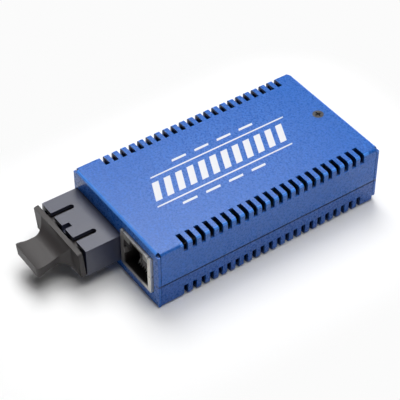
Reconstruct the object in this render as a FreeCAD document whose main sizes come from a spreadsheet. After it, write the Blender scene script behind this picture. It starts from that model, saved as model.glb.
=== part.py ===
import FreeCAD, Part

# A fibre media converter: a small folded steel case with vented edges, a circuit board, a duplex
# optical transceiver closed by a pull-off dust plug, a network jack in front and a power jack behind.
# Frame: origin at the centre of the tray's underside, +X to the right seen from the front,
# +Y to the back, +Z up, in millimetres.

import math
import os

import Sketcher
from FreeCAD import Vector

SIZES = [
    # the folded case
    ("case_width", 46.0, "outside width"),
    ("case_depth", 82.0, "outside depth, over the cover's front and back flanges"),
    ("case_height", 21.5, "outside height"),
    ("sheet", 0.9, "thickness of the folded steel"),
    ("bend_inside", 0.15, "inside radius of each bend"),
    ("seam_height", 8.4, "height of the seam between cover and tray"),
    ("seam_gap", 0.3, "gap along that seam"),
    ("end_gap", 0.2, "gap between a side wall's end and the flange in front of it"),
    ("corner_relief", 1.4, "width of the relief at each end of a flange's bend"),
    ("front_foot_gap", 0.3, "gap under the front flange"),
    ("back_foot_gap", 2.0, "gap under the back flange"),
    ("opening_gap", 0.3, "gap round what passes through a flange"),
    ("opening_corner", 0.4, "corner radius of those openings"),
    # the vents cut across the four long bends
    ("vent_count", 22, "vents along each long edge"),
    ("vent_pitch", 3.125, "distance from vent to vent"),
    ("vent_width", 1.55, "width of a vent"),
    ("vent_top_reach", 4.4, "reach of an upper vent over the top"),
    ("vent_floor_reach", 2.2, "reach of a lower vent over the floor"),
    ("vent_upper_reach", 3.3, "reach of an upper vent down the side"),
    ("vent_lower_reach", 4.3, "reach of a lower vent up the side"),
    ("vent_shift", 1.5, "how far the row of vents sits behind the middle"),
    # fastening
    ("pillar_x", -0.6, "cover screw beside the case's middle"),
    ("pillar_inset", 5.4, "cover screw to the back of the case"),
    ("pillar_diameter", 4.4, "cover pillar"),
    ("pillar_spigot", 3.2, "part of the pillar pressed into the floor"),
    ("cover_thread", 2.0, "thread diameter of the cover screw"),
    ("cover_head", 3.6, "head diameter of the cover screw"),
    ("cover_screw_length", 7.0, "length of the cover screw"),
    ("thread_gap", 0.02, "radial gap between a screw and its thread hole"),
    ("head_gap", 0.05, "gap round a countersunk head"),
    ("drive_width", 0.55, "width of a cross recess"),
    ("drive_depth", 0.6, "depth of a cross recess"),
    ("standoff_diameter", 4.8, "board standoff"),
    ("standoff_spigot", 3.6, "part of a standoff pressed into the floor"),
    ("spigot_gap", 0.03, "radial gap round a pressed spigot"),
    ("board_thread", 2.5, "thread diameter of a board screw"),
    ("board_head", 4.6, "head diameter of a board screw"),
    ("board_head_height", 1.7, "head height of a board screw"),
    ("board_screw_length", 3.8, "length of a board screw under its head"),
    ("board_hole_gap", 0.15, "radial gap of a board screw in the board"),
    ("board_hole_span_x", 36.6, "board screws, left to right"),
    ("board_hole_span_y", 43.5, "board screws, front to back"),
    ("board_hole_front", -9.0, "front board screws, from the middle of the case"),
    # the circuit board
    ("board_thickness", 1.6, "main board"),
    ("board_lift", 1.8, "gap between the floor and the board"),
    ("board_gap", 0.5, "gap round the board's edges"),
    ("lead_drop", 2.4, "how far leads reach under the board's top face"),
    ("lead_gap", 0.15, "radial gap of a lead in its hole"),
    # the optical transceiver, a duplex module with nine pins
    ("module_x", -9.25, "middle of the transceiver"),
    ("module_width", 25.4, "transceiver"),
    ("module_height", 10.1, "transceiver"),
    ("module_length", 39.6, "transceiver"),
    ("module_reach", 12.3, "how far it stands out of the case"),
    ("module_wall", 1.2, "wall of the transceiver's rear chamber"),
    ("port_pitch", 12.7, "distance between the two optical ports"),
    ("port_width", 9.2, "optical port"),
    ("port_height", 7.5, "optical port"),
    ("port_depth", 15.0, "optical port"),
    ("partition", 2.0, "wall between the ports and the rear chamber"),
    ("key_width", 1.9, "key slot in the roof of a port"),
    ("key_length", 7.4, "key slot in the roof of a port"),
    ("notch_width", 1.8, "square notch between the key slots"),
    ("notch_length", 2.4, "square notch between the key slots"),
    ("notch_depth", 2.0, "square notch between the key slots"),
    ("post_diameter", 1.8, "mounting post under the transceiver"),
    ("post_back", 15.2, "mounting posts, from the transceiver's front"),
    ("post_span", 20.32, "distance between the mounting posts"),
    ("pin_count", 9, "pins of the transceiver"),
    ("pin_pitch", 2.54, "distance from pin to pin"),
    ("pin_size", 0.5, "square section of a pin"),
    ("pin_back", 35.5, "row of pins, from the transceiver's front"),
    ("module_base", 1.0, "plate that closes the rear chamber"),
    ("module_base_gap", 0.1, "gap round that plate"),
    ("module_board_lift", 2.6, "transceiver's own board over the main board"),
    ("module_board", 0.8, "thickness of the transceiver's own board"),
    ("ferrule_bore", 2.5, "bore that takes a connector's ferrule"),
    ("ferrule_depth", 9.0, "depth of that bore"),
    ("nose_diameter", 4.0, "nose of an optical head"),
    ("nose_recess", 4.2, "mouth of the bore behind the transceiver's front"),
    ("nose_gap", 0.05, "radial gap of the nose in the partition"),
    ("head_flange", 6.6, "flange of an optical head"),
    ("head_flange_length", 1.2, "flange of an optical head"),
    ("head_can", 5.2, "can of an optical head"),
    ("head_can_length", 3.6, "can of an optical head"),
    ("head_lead", 0.44, "lead wire of an optical head"),
    ("head_lead_circle", 1.2, "lead wires from the head's axis"),
    ("head_lead_length", 3.2, "lead wires behind the can"),
    ("latch_plate", 0.8, "plate of a latch clip at the end of its port"),
    ("latch_plate_height", 6.4, "height of that plate"),
    ("latch_arm", 0.6, "thickness of a latch arm"),
    ("latch_arm_height", 3.6, "height of a latch arm"),
    ("latch_arm_length", 8.4, "length of a latch arm"),
    ("latch_span", 8.9, "outside width over the two latch arms"),
    ("latch_hook", 0.25, "how far a latch hook stands in from its arm"),
    ("latch_hook_length", 1.4, "length of a latch hook"),
    # the dust plug
    ("plug_gap", 0.3, "least gap between the plug's flange and the transceiver"),
    ("plug_droop", 5.0, "angle in degrees by which flange and grip hang forward"),
    ("plug_shift", -0.4, "middle of flange and grip beside the middle of the ports"),
    ("plug_flange_width", 26.0, "flange of the dust plug"),
    ("plug_flange_height", 9.8, "flange of the dust plug"),
    ("plug_flange", 1.5, "thickness of that flange"),
    ("plug_flange_corner", 0.9, "corner radius of that flange"),
    ("grip_length", 11.2, "grip in front of the flange"),
    ("grip_neck_width", 12.4, "grip at its neck"),
    ("grip_end_width", 13.2, "grip at its end"),
    ("grip_root_width", 24.6, "grip where it leaves the flange"),
    ("grip_root_height", 9.2, "grip where it leaves the flange"),
    ("grip_sweep", 4.8, "length of the sweep from flange to neck"),
    ("neck_length", 2.2, "straight neck behind the sweep"),
    ("neck_thickness", 2.6, "neck of the grip"),
    ("grip_end_thickness", 4.0, "end of the grip"),
    ("grip_corner", 0.9, "corner radius at the grip's end"),
    ("prong_size", 6.5, "prong that fills a port"),
    ("prong_bore", 4.7, "hollow of a prong, round the optical head's nose"),
    ("prong_corner", 1.0, "corner radius of a prong"),
    ("prong_length", 8.2, "prong that fills a port"),
    # the network jack
    ("lan_x", 12.0, "middle of the network jack"),
    ("lan_width", 16.0, "shield of the network jack"),
    ("lan_height", 13.6, "shield of the network jack"),
    ("lan_length", 18.0, "shield of the network jack"),
    ("lan_proud", 0.8, "how far it stands out of the case"),
    ("shield_sheet", 0.3, "sheet of the shield"),
    ("shield_side_band", 1.6, "front frame of the shield, at each side"),
    ("shield_top_band", 0.8, "front frame of the shield, along the top"),
    ("shield_bottom_band", 1.3, "front frame of the shield, along the bottom"),
    ("shield_slit", 0.35, "slits in the shield's top front edge"),
    ("shield_slit_spacing", 13.2, "distance between those slits"),
    ("shield_slit_length", 1.3, "slits in the shield's top front edge"),
    ("shield_tab", 1.5, "width of a shield tab through the board"),
    ("shield_tab_back", 7.5, "shield tabs, from the jack's front"),
    ("finger_height", 2.4, "ground finger in the side of the port"),
    ("finger_base", 5.0, "underside of the ground finger, over the board"),
    ("finger_length", 4.5, "ground finger"),
    ("finger_reach", 0.9, "how far the ground finger leans into the port"),
    ("lan_gap", 0.05, "gap between shield and housing"),
    ("lan_port_width", 11.9, "port for a network plug"),
    ("lan_port_floor", 1.2, "floor of the port over the board"),
    ("lan_port_height", 7.2, "port for a network plug"),
    ("lan_port_depth", 13.2, "port for a network plug"),
    ("latch_notch_width", 6.3, "wide part of the latch notch"),
    ("latch_notch_height", 1.8, "wide part of the latch notch"),
    ("latch_tip_width", 4.1, "narrow part of the latch notch"),
    ("latch_tip_height", 1.5, "narrow part of the latch notch"),
    ("contact_pitch", 1.02, "network contacts"),
    ("contact_width", 0.46, "network contact"),
    ("contact_sheet", 0.3, "thickness of a network contact"),
    ("contact_slot", 0.64, "slot for a network contact"),
    ("contact_front", 3.1, "front bend of a contact, from the jack's front"),
    ("contact_rise", 1.2, "steep rise of a contact behind its front bend"),
    ("contact_knee", 0.9, "depth of that steep rise"),
    ("contact_tip_back", 11.2, "tip of a contact, from the jack's front"),
    ("contact_tip_rise", 2.4, "tip of a contact over the port's floor"),
    ("contact_row", 2.54, "distance between the two rows of contact pins"),
    ("lamp_width", 3.0, "lamp in a top corner of the jack"),
    ("lamp_height", 2.4, "lamp in a top corner of the jack"),
    ("lamp_length", 6.5, "lamp in a top corner of the jack"),
    ("lamp_spacing", 10.0, "distance between the two lamps"),
    ("lamp_gap", 0.05, "gap round a lamp"),
    ("lamp_lead", 0.4, "square section of a lamp's lead"),
    # the power jack
    ("power_x", -11.0, "middle of the power jack"),
    ("power_width", 9.0, "front block of the power jack"),
    ("power_height", 11.0, "front block of the power jack"),
    ("power_block", 3.4, "depth of that front block"),
    ("power_length", 14.0, "whole power jack"),
    ("power_barrel", 8.0, "width of the body behind the front block"),
    ("power_axis", 6.4, "height of the socket's axis over the board"),
    ("power_bore", 6.3, "bore of the socket"),
    ("power_bore_depth", 9.6, "bore of the socket"),
    ("power_pin", 2.0, "centre pin"),
    ("power_pin_recess", 0.8, "tip of the centre pin behind the mouth"),
    ("power_pin_shank", 2.6, "thicker shank of the pin in the rear wall"),
    ("power_pin_gap", 0.05, "radial gap of the pin in the rear wall"),
    ("tab_width", 2.4, "soldering tab of the power jack"),
    ("tab_sheet", 0.4, "thickness of those tabs"),
    # the parts on the board
    ("chip_side", 10.0, "converter chip"),
    ("chip_height", 1.4, "converter chip"),
    ("chip_lift", 0.1, "gap under a chip's body"),
    ("chip_lead_pitch", 0.8, "leads of the converter chip"),
    ("chip_leads", 11, "leads on each side of the converter chip"),
    ("chip_lead_width", 0.35, "lead of the converter chip"),
    ("lead_sheet", 0.15, "thickness of a chip's lead"),
    ("lead_foot", 0.6, "foot of a chip's lead on the board"),
    ("lead_reach", 1.1, "how far a chip's lead stands out"),
    ("transformer_length", 12.7, "network transformer"),
    ("transformer_width", 7.1, "network transformer"),
    ("transformer_height", 5.6, "network transformer"),
    ("transformer_pitch", 1.27, "leads of the network transformer"),
    ("transformer_leads", 8, "leads on each side of the network transformer"),
    ("memory_length", 4.9, "memory chip"),
    ("memory_width", 3.9, "memory chip"),
    ("memory_height", 1.5, "memory chip"),
    ("crystal_length", 11.0, "crystal"),
    ("crystal_width", 4.6, "crystal"),
    ("crystal_height", 3.5, "crystal"),
    ("crystal_rim", 0.4, "rim round the crystal's base"),
    ("capacitor_diameter", 6.3, "can of a bulk capacitor"),
    ("capacitor_height", 7.0, "bulk capacitor with its base"),
    ("capacitor_base", 0.9, "base of a bulk capacitor"),
    ("capacitor_pitch", 8.0, "distance between the bulk capacitors"),
    ("regulator_length", 6.5, "voltage regulator"),
    ("regulator_width", 3.5, "voltage regulator"),
    ("regulator_height", 1.6, "voltage regulator"),
    ("inductor_side", 6.0, "power inductor"),
    ("inductor_height", 3.2, "power inductor"),
]
VALUES = {alias: value for alias, value, meaning in SIZES}

# where the small parts sit on the board: middle of each, from the middle of the case
CHIP_SPOT = (-4.5, 4.0)
TRANSFORMER_SPOT = (12.0, -16.8)
MEMORY_SPOT = (9.0, 6.0)
CRYSTAL_SPOT = (-14.5, 13.5)
CAPACITOR_SPOT = (6.5, 28.5)
REGULATOR_SPOT = (3.0, 18.5)
INDUCTOR_SPOT = (13.5, 19.0)
CAPACITOR_CHIP_SPOTS = [(-12.0, -8.0), (-6.0, -6.5), (0.0, -6.5), (4.5, 0.0), (4.5, 4.5), (-12.5, 1.0),
                        (-7.0, 13.5), (-4.0, 13.5), (0.0, 13.5), (7.5, 13.5), (18.0, 6.0), (-16.0, 18.0)]
RESISTOR_CHIP_SPOTS = [(5.5, -8.5), (8.0, -2.5), (11.0, -2.5), (14.0, -2.5), (17.0, -2.5),
                       (-18.5, 0.0), (-18.5, -3.0), (14.5, 10.5), (17.0, 12.5), (-8.0, 18.5)]
CAPACITOR_CHIP = (2.0, 1.25, 0.9)
RESISTOR_CHIP = (1.6, 0.8, 0.45)
CHIP_END = 0.35


class Size:
    """A length that knows both its value and the sheet formula that gives it."""

    def __init__(self, value, formula):
        self.value = value
        self.formula = formula

    def _join(self, other, sign, value, turned=False):
        text = other.formula if isinstance(other, Size) else "(%r)" % other
        pair = (text, self.formula) if turned else (self.formula, text)
        return Size(value, "(%s %s %s)" % (pair[0], sign, pair[1]))

    def __add__(self, other):
        return self._join(other, "+", self.value + number(other))

    def __radd__(self, other):
        return self._join(other, "+", number(other) + self.value, True)

    def __sub__(self, other):
        return self._join(other, "-", self.value - number(other))

    def __rsub__(self, other):
        return self._join(other, "-", number(other) - self.value, True)

    def __mul__(self, other):
        return self._join(other, "*", self.value * number(other))

    def __rmul__(self, other):
        return self._join(other, "*", number(other) * self.value, True)

    def __truediv__(self, other):
        return self._join(other, "/", self.value / number(other))

    def __neg__(self):
        return Size(-self.value, "(-%s)" % self.formula)


class Sheet:
    """The spreadsheet's cells by alias, so that sheet.case_width is a Size."""

    def __getattr__(self, alias):
        return Size(VALUES[alias], "Sizes.%s" % alias)


def number(size):
    """The plain number of a Size or of a number."""
    return size.value if isinstance(size, Size) else float(size)


S = Sheet()

# places that several pieces share
BOARD_TOP = S.sheet + S.board_lift + S.board_thickness
FRONT = -S.case_depth / 2
BACK = S.case_depth / 2
WALL_FRONT = FRONT + S.sheet + S.end_gap
WALL_LENGTH = S.case_depth - 2 * (S.sheet + S.end_gap)
BEND_OUTSIDE = S.bend_inside + S.sheet
MODULE_FRONT = FRONT - S.module_reach
LAN_FRONT = FRONT - S.lan_proud
PILLAR_Y = BACK - S.pillar_inset
PORT_AXIS = S.module_height / 2
CHAMBER_FRONT = S.port_depth + S.partition
CHAMBER_BACK = S.module_length - S.module_wall
CHAMBER_HALF = S.module_width / 2 - S.module_wall
MODULE_PORTS = (-S.port_pitch / 2, S.port_pitch / 2)
LAN_WALL_REAR = S.lan_port_depth + 1.0
LAN_PIN_ROW = LAN_WALL_REAR + 0.6

DOC = FreeCAD.newDocument("MediaConverter")


# ---------------------------------------------------------------- document helpers

def fill_sheet():
    """Write the driving dimensions into the spreadsheet, one row each."""
    sheet = DOC.addObject("Spreadsheet::Sheet", "Sizes")
    for row, (alias, value, meaning) in enumerate(SIZES, start=1):
        sheet.set("A%d" % row, meaning)
        sheet.set("B%d" % row, str(value))
        sheet.setAlias("B%d" % row, alias)
    DOC.recompute()


def bind(thing, path, size):
    """Tie a property to the sheet, or set it where the size is a plain number."""
    if isinstance(size, Size):
        thing.setExpression(path, size.formula)
    else:
        thing.setExpression(path, "%r" % size)


def place(thing, x=0, y=0, z=0):
    """Put an object's own origin at a point of the case's frame."""
    for axis, size in (("x", x), ("y", y), ("z", z)):
        bind(thing, "Placement.Base.%s" % axis, size)


def new_body(label, x=0, y=0, z=0):
    """An empty body with its own label, placed in the case's frame."""
    body = DOC.addObject("PartDesign::Body", label)
    body.Label = label
    body.AllowCompound = True
    place(body, x, y, z)
    return body


def origin_feature(body, role):
    """One of the body's own origin planes or axes."""
    return next(item for item in body.Origin.OriginFeatures if item.Role == role)


class Drawing:
    """Collects the outlines and dimensions of one sketch, then hands them over in one go."""

    def __init__(self, body, name, plane, at=0):
        self.sketch = body.newObject("Sketcher::SketchObject", name)
        self.sketch.AttachmentSupport = [(origin_feature(body, plane + "_Plane"), "")]
        self.sketch.MapMode = "FlatFace"
        # the normal of the XZ plane points to the front, along -Y
        bind(self.sketch, "AttachmentOffset.Base.z", -at if plane == "XZ" else at)
        self.shapes = []
        self.rules = []
        self.formulas = []

    def shape(self, geometry, construction=False):
        self.shapes.append((geometry, construction))
        return len(self.shapes) - 1

    def rule(self, *words):
        self.rules.append(Sketcher.Constraint(*words))

    def measure(self, kind, refs, size):
        if isinstance(size, Size):
            self.formulas.append((len(self.rules), size.formula))
        self.rules.append(Sketcher.Constraint(kind, *refs, number(size)))

    def pin(self, shape, end, x, y):
        self.measure("DistanceX", (-1, 1, shape, end), x)
        self.measure("DistanceY", (-1, 1, shape, end), y)

    def circle(self, x, y, radius):
        spot = Vector(number(x), number(y), 0)
        round_ = self.shape(Part.Circle(spot, Vector(0, 0, 1), number(radius)))
        self.pin(round_, 3, x, y)
        self.measure("Radius", (round_,), radius)

    def rectangle(self, x0, y0, x1, y1, radius=None):
        corners = [(x0, y0), (x1, y0), (x1, y1), (x0, y1)]
        self.outline([corner + (radius,) for corner in corners] if radius is not None else corners)

    def outline(self, path):
        """A closed outline through (x, y) or (x, y, corner radius).

        "sweep on" between two points joins them by an arc that leaves the side before it smoothly,
        and "sweep off" by an arc that runs smoothly into the side after it.
        """
        points, kinds = [], []
        for step in path:
            if isinstance(step, str):
                kinds[-1] = step
            else:
                points.append(step)
                kinds.append("side")
        count = len(points)
        spots = [Vector(number(p[0]), number(p[1]), 0) for p in points]
        ways = [(spots[(i + 1) % count] - spots[i]).normalize() for i in range(count)]
        radii = [p[2] if len(p) > 2 else None for p in points]
        trims = []
        for i in range(count):
            turn = math.atan2(ways[i - 1].cross(ways[i]).z, ways[i - 1].dot(ways[i]))
            trims.append((turn, abs(math.tan(turn / 2)) * number(radii[i]) if radii[i] is not None else 0.0))
        edges = []
        for i in range(count):
            j = (i + 1) % count
            start = spots[i] + ways[i] * trims[i][1]
            end = spots[j] - ways[i] * trims[j][1]
            if kinds[i] == "side":
                edges.append((self.shape(Part.LineSegment(start, end)), 1, 2))
            else:
                toward = ways[i - 1] if kinds[i] == "sweep on" else ways[j]
                geometry, left = arc_between(start, end, toward, kinds[i] == "sweep on")
                edges.append((self.shape(geometry),) + ((1, 2) if left else (2, 1)))
        for i in range(count):
            before, after = edges[i - 1], edges[i]
            if radii[i] is not None:
                self._round(points[i], spots[i], ways[i - 1], trims[i], before, after, radii[i])
                continue
            smooth = (kinds[i] == "sweep on" and kinds[i - 1] == "side") or (
                kinds[i - 1] == "sweep off" and kinds[i] == "side")
            self.rule("Tangent" if smooth else "Coincident", before[0], before[2], after[0], after[1])
            self.pin(after[0], after[1], points[i][0], points[i][1])

    def _round(self, point, spot, way_in, trim, before, after, radius):
        turn, cut = trim
        left = turn > 0
        side = Vector(-way_in.y, way_in.x, 0) * (1 if left else -1)
        centre = spot - way_in * cut + side * number(radius)
        first = math.atan2(-side.y, -side.x)
        span = (first, first + turn) if left else (first + turn, first)
        arc = self.shape(Part.ArcOfCircle(Part.Circle(centre, Vector(0, 0, 1), number(radius)), *span))
        corner = self.shape(Part.Point(spot), True)
        self.pin(corner, 1, point[0], point[1])
        self.rule("PointOnObject", corner, 1, before[0])
        self.rule("PointOnObject", corner, 1, after[0])
        self.rule("Tangent", before[0], before[2], arc, 1 if left else 2)
        self.rule("Tangent", arc, 2 if left else 1, after[0], after[1])
        self.measure("Radius", (arc,), radius)

    def done(self):
        self.sketch.addGeometry([geometry for geometry, construction in self.shapes])
        for index, (geometry, construction) in enumerate(self.shapes):
            if construction:
                self.sketch.setConstruction(index, True)
        self.sketch.addConstraint(self.rules)
        for index, formula in self.formulas:
            self.sketch.setExpression("Constraints[%d]" % index, formula)
        return self.sketch


def arc_between(start, end, way, leaves_start):
    """The arc from start to end that is tangent to way at one of them, and whether it turns left."""
    near, far = (start, end) if leaves_start else (end, start)
    side = Vector(-way.y, way.x, 0)
    chord = far - near
    reach = chord.dot(chord) / (2 * chord.dot(side))
    centre = near + side * reach
    left = reach > 0
    first = math.atan2(start.y - centre.y, start.x - centre.x)
    last = math.atan2(end.y - centre.y, end.x - centre.x)
    span = (first, last) if left else (last, first)
    return Part.ArcOfCircle(Part.Circle(centre, Vector(0, 0, 1), abs(reach)), *span), left


def pad(body, drawing, length, back=False, both=False):
    """Thicken a sketch: along its plane's normal, against it (back) or half each way (both)."""
    sketch = drawing.done()
    feature = body.newObject("PartDesign::Pad", sketch.Name + "Pad")
    feature.Profile = sketch
    feature.SideType = "Symmetric" if both else "One side"
    feature.Reversed = back
    bind(feature, "Length", length)
    return feature


def pocket(body, drawing, depth, along=False, both=False):
    """Cut a sketch: against its plane's normal, along it (along) or half each way (both)."""
    sketch = drawing.done()
    DOC.recompute()
    before = body.Shape.Volume
    feature = body.newObject("PartDesign::Pocket", sketch.Name + "Cut")
    feature.Profile = sketch
    feature.SideType = "Symmetric" if both else "One side"
    feature.Reversed = along
    bind(feature, "Length", depth)
    DOC.recompute()
    if not body.Shape.Volume < before - 1e-4:
        raise RuntimeError("%s cuts nothing from %s" % (sketch.Name, body.Label))
    return feature


def turned(body, drawing, axis="V_Axis"):
    """Revolve a sketch a full turn about one of its own axes."""
    sketch = drawing.done()
    feature = body.newObject("PartDesign::Revolution", sketch.Name + "Turned")
    feature.Profile = sketch
    feature.ReferenceAxis = (sketch, [axis])
    feature.Angle = 360
    return feature


def row(body, features, axis, pitch, count):
    """Repeat features along one of the body's axes."""
    pattern = body.newObject("PartDesign::LinearPattern", features[0].Name + "Row")
    pattern.Originals = features
    pattern.Direction = (origin_feature(body, axis + "_Axis"), [""])
    pattern.Mode = "Spacing"
    bind(pattern, "Offset", pitch)
    bind(pattern, "Occurrences", count)
    body.Tip = pattern
    return pattern


def edge_names(shape, wanted):
    """Names of the edges of a shape for which wanted(edge) is true."""
    return ["Edge%d" % (i + 1) for i, edge in enumerate(shape.Edges) if wanted(edge)]


def soften(body, base, radius, wanted, kind="Fillet"):
    """Round or chamfer the edges of a feature for which wanted(edge) is true."""
    DOC.recompute()
    names = edge_names(base.Shape, wanted)
    if not names:
        raise RuntimeError("no edge to soften on %s" % body.Label)
    feature = body.newObject("PartDesign::%s" % kind, "%s%s" % (base.Name, kind))
    feature.Base = (base, names)
    bind(feature, "Radius" if kind == "Fillet" else "Size", radius)
    body.Tip = feature
    return feature


def block(name, length, width, height, x, y, z):
    """A Part::Box centred on x, y and standing on z."""
    box = DOC.addObject("Part::Box", name)
    bind(box, "Length", length)
    bind(box, "Width", width)
    bind(box, "Height", height)
    place(box, x - length / 2, y - width / 2, z)
    return box


def fuse(label, pieces):
    """One solid from pieces that touch."""
    joined = DOC.addObject("Part::MultiFuse", label)
    joined.Label = label
    joined.Shapes = pieces
    joined.Refine = True
    return joined


def group(label, pieces):
    """Separate solids that share one node."""
    bundle = DOC.addObject("Part::Compound", label)
    bundle.Label = label
    bundle.Links = pieces
    return bundle


# ---------------------------------------------------------------- the folded case

def cut_vents(body, name, flat_z, inward, flat_reach, side_reach):
    """A row of vents across both long bends of one half of the case.

    inward is the direction from the flat sheet into the case, 1 for up and -1 for down.
    """
    half = S.case_width / 2
    first = S.vent_shift - (S.vent_count - 1) * S.vent_pitch / 2
    near, far = first - S.vent_width / 2, first + S.vent_width / 2
    over, end = half + S.sheet, half - flat_reach
    flat = Drawing(body, name + "Flat", "XY", flat_z)
    flat.outline([(over, far), (end, far), (end, near), (over, near)])
    flat.outline([(-over, near), (-end, near), (-end, far), (-over, far)])
    cuts = [pocket(body, flat, BEND_OUTSIDE, along=inward > 0)]
    side_end, side_over = flat_z + inward * side_reach, flat_z - inward * S.sheet
    for word, x in (("Right", half), ("Left", -half)):
        side = Drawing(body, name + word, "YZ", x)
        side.outline([(near, side_over), (near, side_end), (far, side_end), (far, side_over)])
        cuts.append(pocket(body, side, BEND_OUTSIDE, along=word == "Left"))
    row(body, cuts, "Y", S.vent_pitch, S.vent_count)


def top_cover():
    """Top, two sides and two end flanges, folded from one sheet."""
    body = new_body("top_cover")
    half, top, sheet = S.case_width / 2, S.case_height, S.sheet
    low = S.seam_height + S.seam_gap / 2
    channel = Drawing(body, "CoverChannel", "XZ", WALL_FRONT)
    channel.outline([
        (-half, low), (-half + sheet, low), (-half + sheet, top - sheet, S.bend_inside),
        (half - sheet, top - sheet, S.bend_inside), (half - sheet, low), (half, low),
        (half, top, BEND_OUTSIDE), (-half, top, BEND_OUTSIDE)])
    pad(body, channel, WALL_LENGTH, back=True)

    flange_top = top - BEND_OUTSIDE
    strip = Drawing(body, "CoverEnds", "YZ")
    strip.outline([
        (FRONT, S.front_foot_gap), (FRONT + sheet, S.front_foot_gap),
        (FRONT + sheet, top - sheet, S.bend_inside), (BACK - sheet, top - sheet, S.bend_inside),
        (BACK - sheet, S.back_foot_gap), (BACK, S.back_foot_gap),
        (BACK, top, BEND_OUTSIDE), (FRONT, top, BEND_OUTSIDE)])
    pad(body, strip, S.case_width - 2 * S.corner_relief, both=True)
    for word, y, foot in (("Front", FRONT, S.front_foot_gap), ("Back", BACK - sheet, S.back_foot_gap)):
        flange = Drawing(body, "Cover%sFlange" % word, "XZ", y)
        flange.rectangle(-half, foot, half, flange_top)
        pad(body, flange, sheet, back=True)

    gap, corner = S.opening_gap, S.opening_corner
    module_left = S.module_x - S.module_width / 2 - gap / 2
    lan_left = S.lan_x - S.lan_width / 2 - gap / 2
    lan_right = S.lan_x + S.lan_width / 2 + gap
    sill = BOARD_TOP - gap
    module_top = BOARD_TOP + S.module_height + gap
    lan_top = BOARD_TOP + S.lan_height + gap
    front = Drawing(body, "PortOpening", "XZ", FRONT)
    front.outline([
        (module_left, sill, corner), (lan_right, sill, corner), (lan_right, lan_top, corner),
        (lan_left, lan_top, corner), (lan_left, module_top), (module_left, module_top, corner)])
    pocket(body, front, sheet)

    back = Drawing(body, "PowerOpening", "XZ", BACK)
    reach = S.power_width / 2 + gap
    back.rectangle(S.power_x - reach, sill, S.power_x + reach, BOARD_TOP + S.power_height + gap, corner)
    pocket(body, back, sheet, along=True)

    screw = Drawing(body, "CoverScrewHole", "XY", top)
    screw.circle(S.pillar_x, PILLAR_Y, S.cover_thread / 2 + S.head_gap)
    drilled = pocket(body, screw, sheet)
    hole = number(S.cover_thread / 2 + S.head_gap)
    soften(body, drilled, (S.cover_head - S.cover_thread) / 2, lambda edge: edge.Curve.TypeId ==
           "Part::GeomCircle" and abs(edge.Curve.Radius - hole) < 1e-6
           and abs(edge.CenterOfMass.z - number(top)) < 1e-6, "Chamfer")

    cut_vents(body, "TopVent", top, -1, S.vent_top_reach, S.vent_upper_reach)
    return body


def bottom_tray():
    """Floor and two low side walls, folded from one sheet."""
    body = new_body("bottom_tray")
    half, sheet = S.case_width / 2, S.sheet
    high = S.seam_height - S.seam_gap / 2
    channel = Drawing(body, "TrayChannel", "XZ", WALL_FRONT)
    channel.outline([
        (-half, 0, BEND_OUTSIDE), (half, 0, BEND_OUTSIDE), (half, high), (half - sheet, high),
        (half - sheet, sheet, S.bend_inside), (-half + sheet, sheet, S.bend_inside),
        (-half + sheet, high), (-half, high)])
    pad(body, channel, WALL_LENGTH, back=True)
    holes = Drawing(body, "StandoffHoles", "XY", sheet)
    for x, y in board_hole_spots():
        holes.circle(x, y, S.standoff_spigot / 2 + S.spigot_gap)
    holes.circle(S.pillar_x, PILLAR_Y, S.pillar_spigot / 2 + S.spigot_gap)
    pocket(body, holes, sheet)
    cut_vents(body, "FloorVent", 0, 1, S.vent_floor_reach, S.vent_lower_reach)
    return body


# ---------------------------------------------------------------- fastening

def board_hole_spots():
    """Middles of the four board screws."""
    span = S.board_hole_span_x / 2
    rows = (S.board_hole_front, S.board_hole_front + S.board_hole_span_y)
    return [(side * span, y) for y in rows for side in (-1, 1)]


def cross_recess(body, name, top, reach, spots):
    """The cross recess of a screw head, at each of the given spots."""
    crosses = Drawing(body, name, "XY", top)
    bar = S.drive_width / 2
    ring = [(reach, -bar), (reach, bar), (bar, bar), (bar, reach), (-bar, reach), (-bar, bar),
            (-reach, bar), (-reach, -bar), (-bar, -bar), (-bar, -reach), (bar, -reach), (bar, -bar)]
    for x, y in spots:
        crosses.outline([(x + dx, y + dy) for dx, dy in ring])
    return pocket(body, crosses, S.drive_depth)


def cover_pillar():
    """Tapped pillar that stands on the floor, passes the board and carries the cover screw."""
    body = new_body("cover_pillar", S.pillar_x, PILLAR_Y)
    outer, spigot = S.pillar_diameter / 2, S.pillar_spigot / 2
    tapped = S.cover_thread / 2 + S.thread_gap
    top = S.case_height - S.sheet
    bottom = top - S.cover_screw_length
    profile = Drawing(body, "PillarProfile", "XZ")
    profile.outline([(0, 0), (spigot, 0), (spigot, S.sheet), (outer, S.sheet), (outer, top), (tapped, top),
                     (tapped, bottom), (0, bottom - tapped)])
    turned(body, profile)
    return body


def cover_screw():
    """Countersunk screw, flush with the top."""
    body = new_body("cover_screw", S.pillar_x, PILLAR_Y, S.case_height)
    head, thread = S.cover_head / 2, S.cover_thread / 2
    profile = Drawing(body, "CoverScrewProfile", "XZ")
    profile.outline([(0, -S.cover_screw_length), (thread, -S.cover_screw_length), (thread, thread - head),
                     (head, 0), (0, 0)])
    turned(body, profile)
    cross_recess(body, "CoverScrewCross", 0, head * 0.6, [(0, 0)])
    return body


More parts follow.
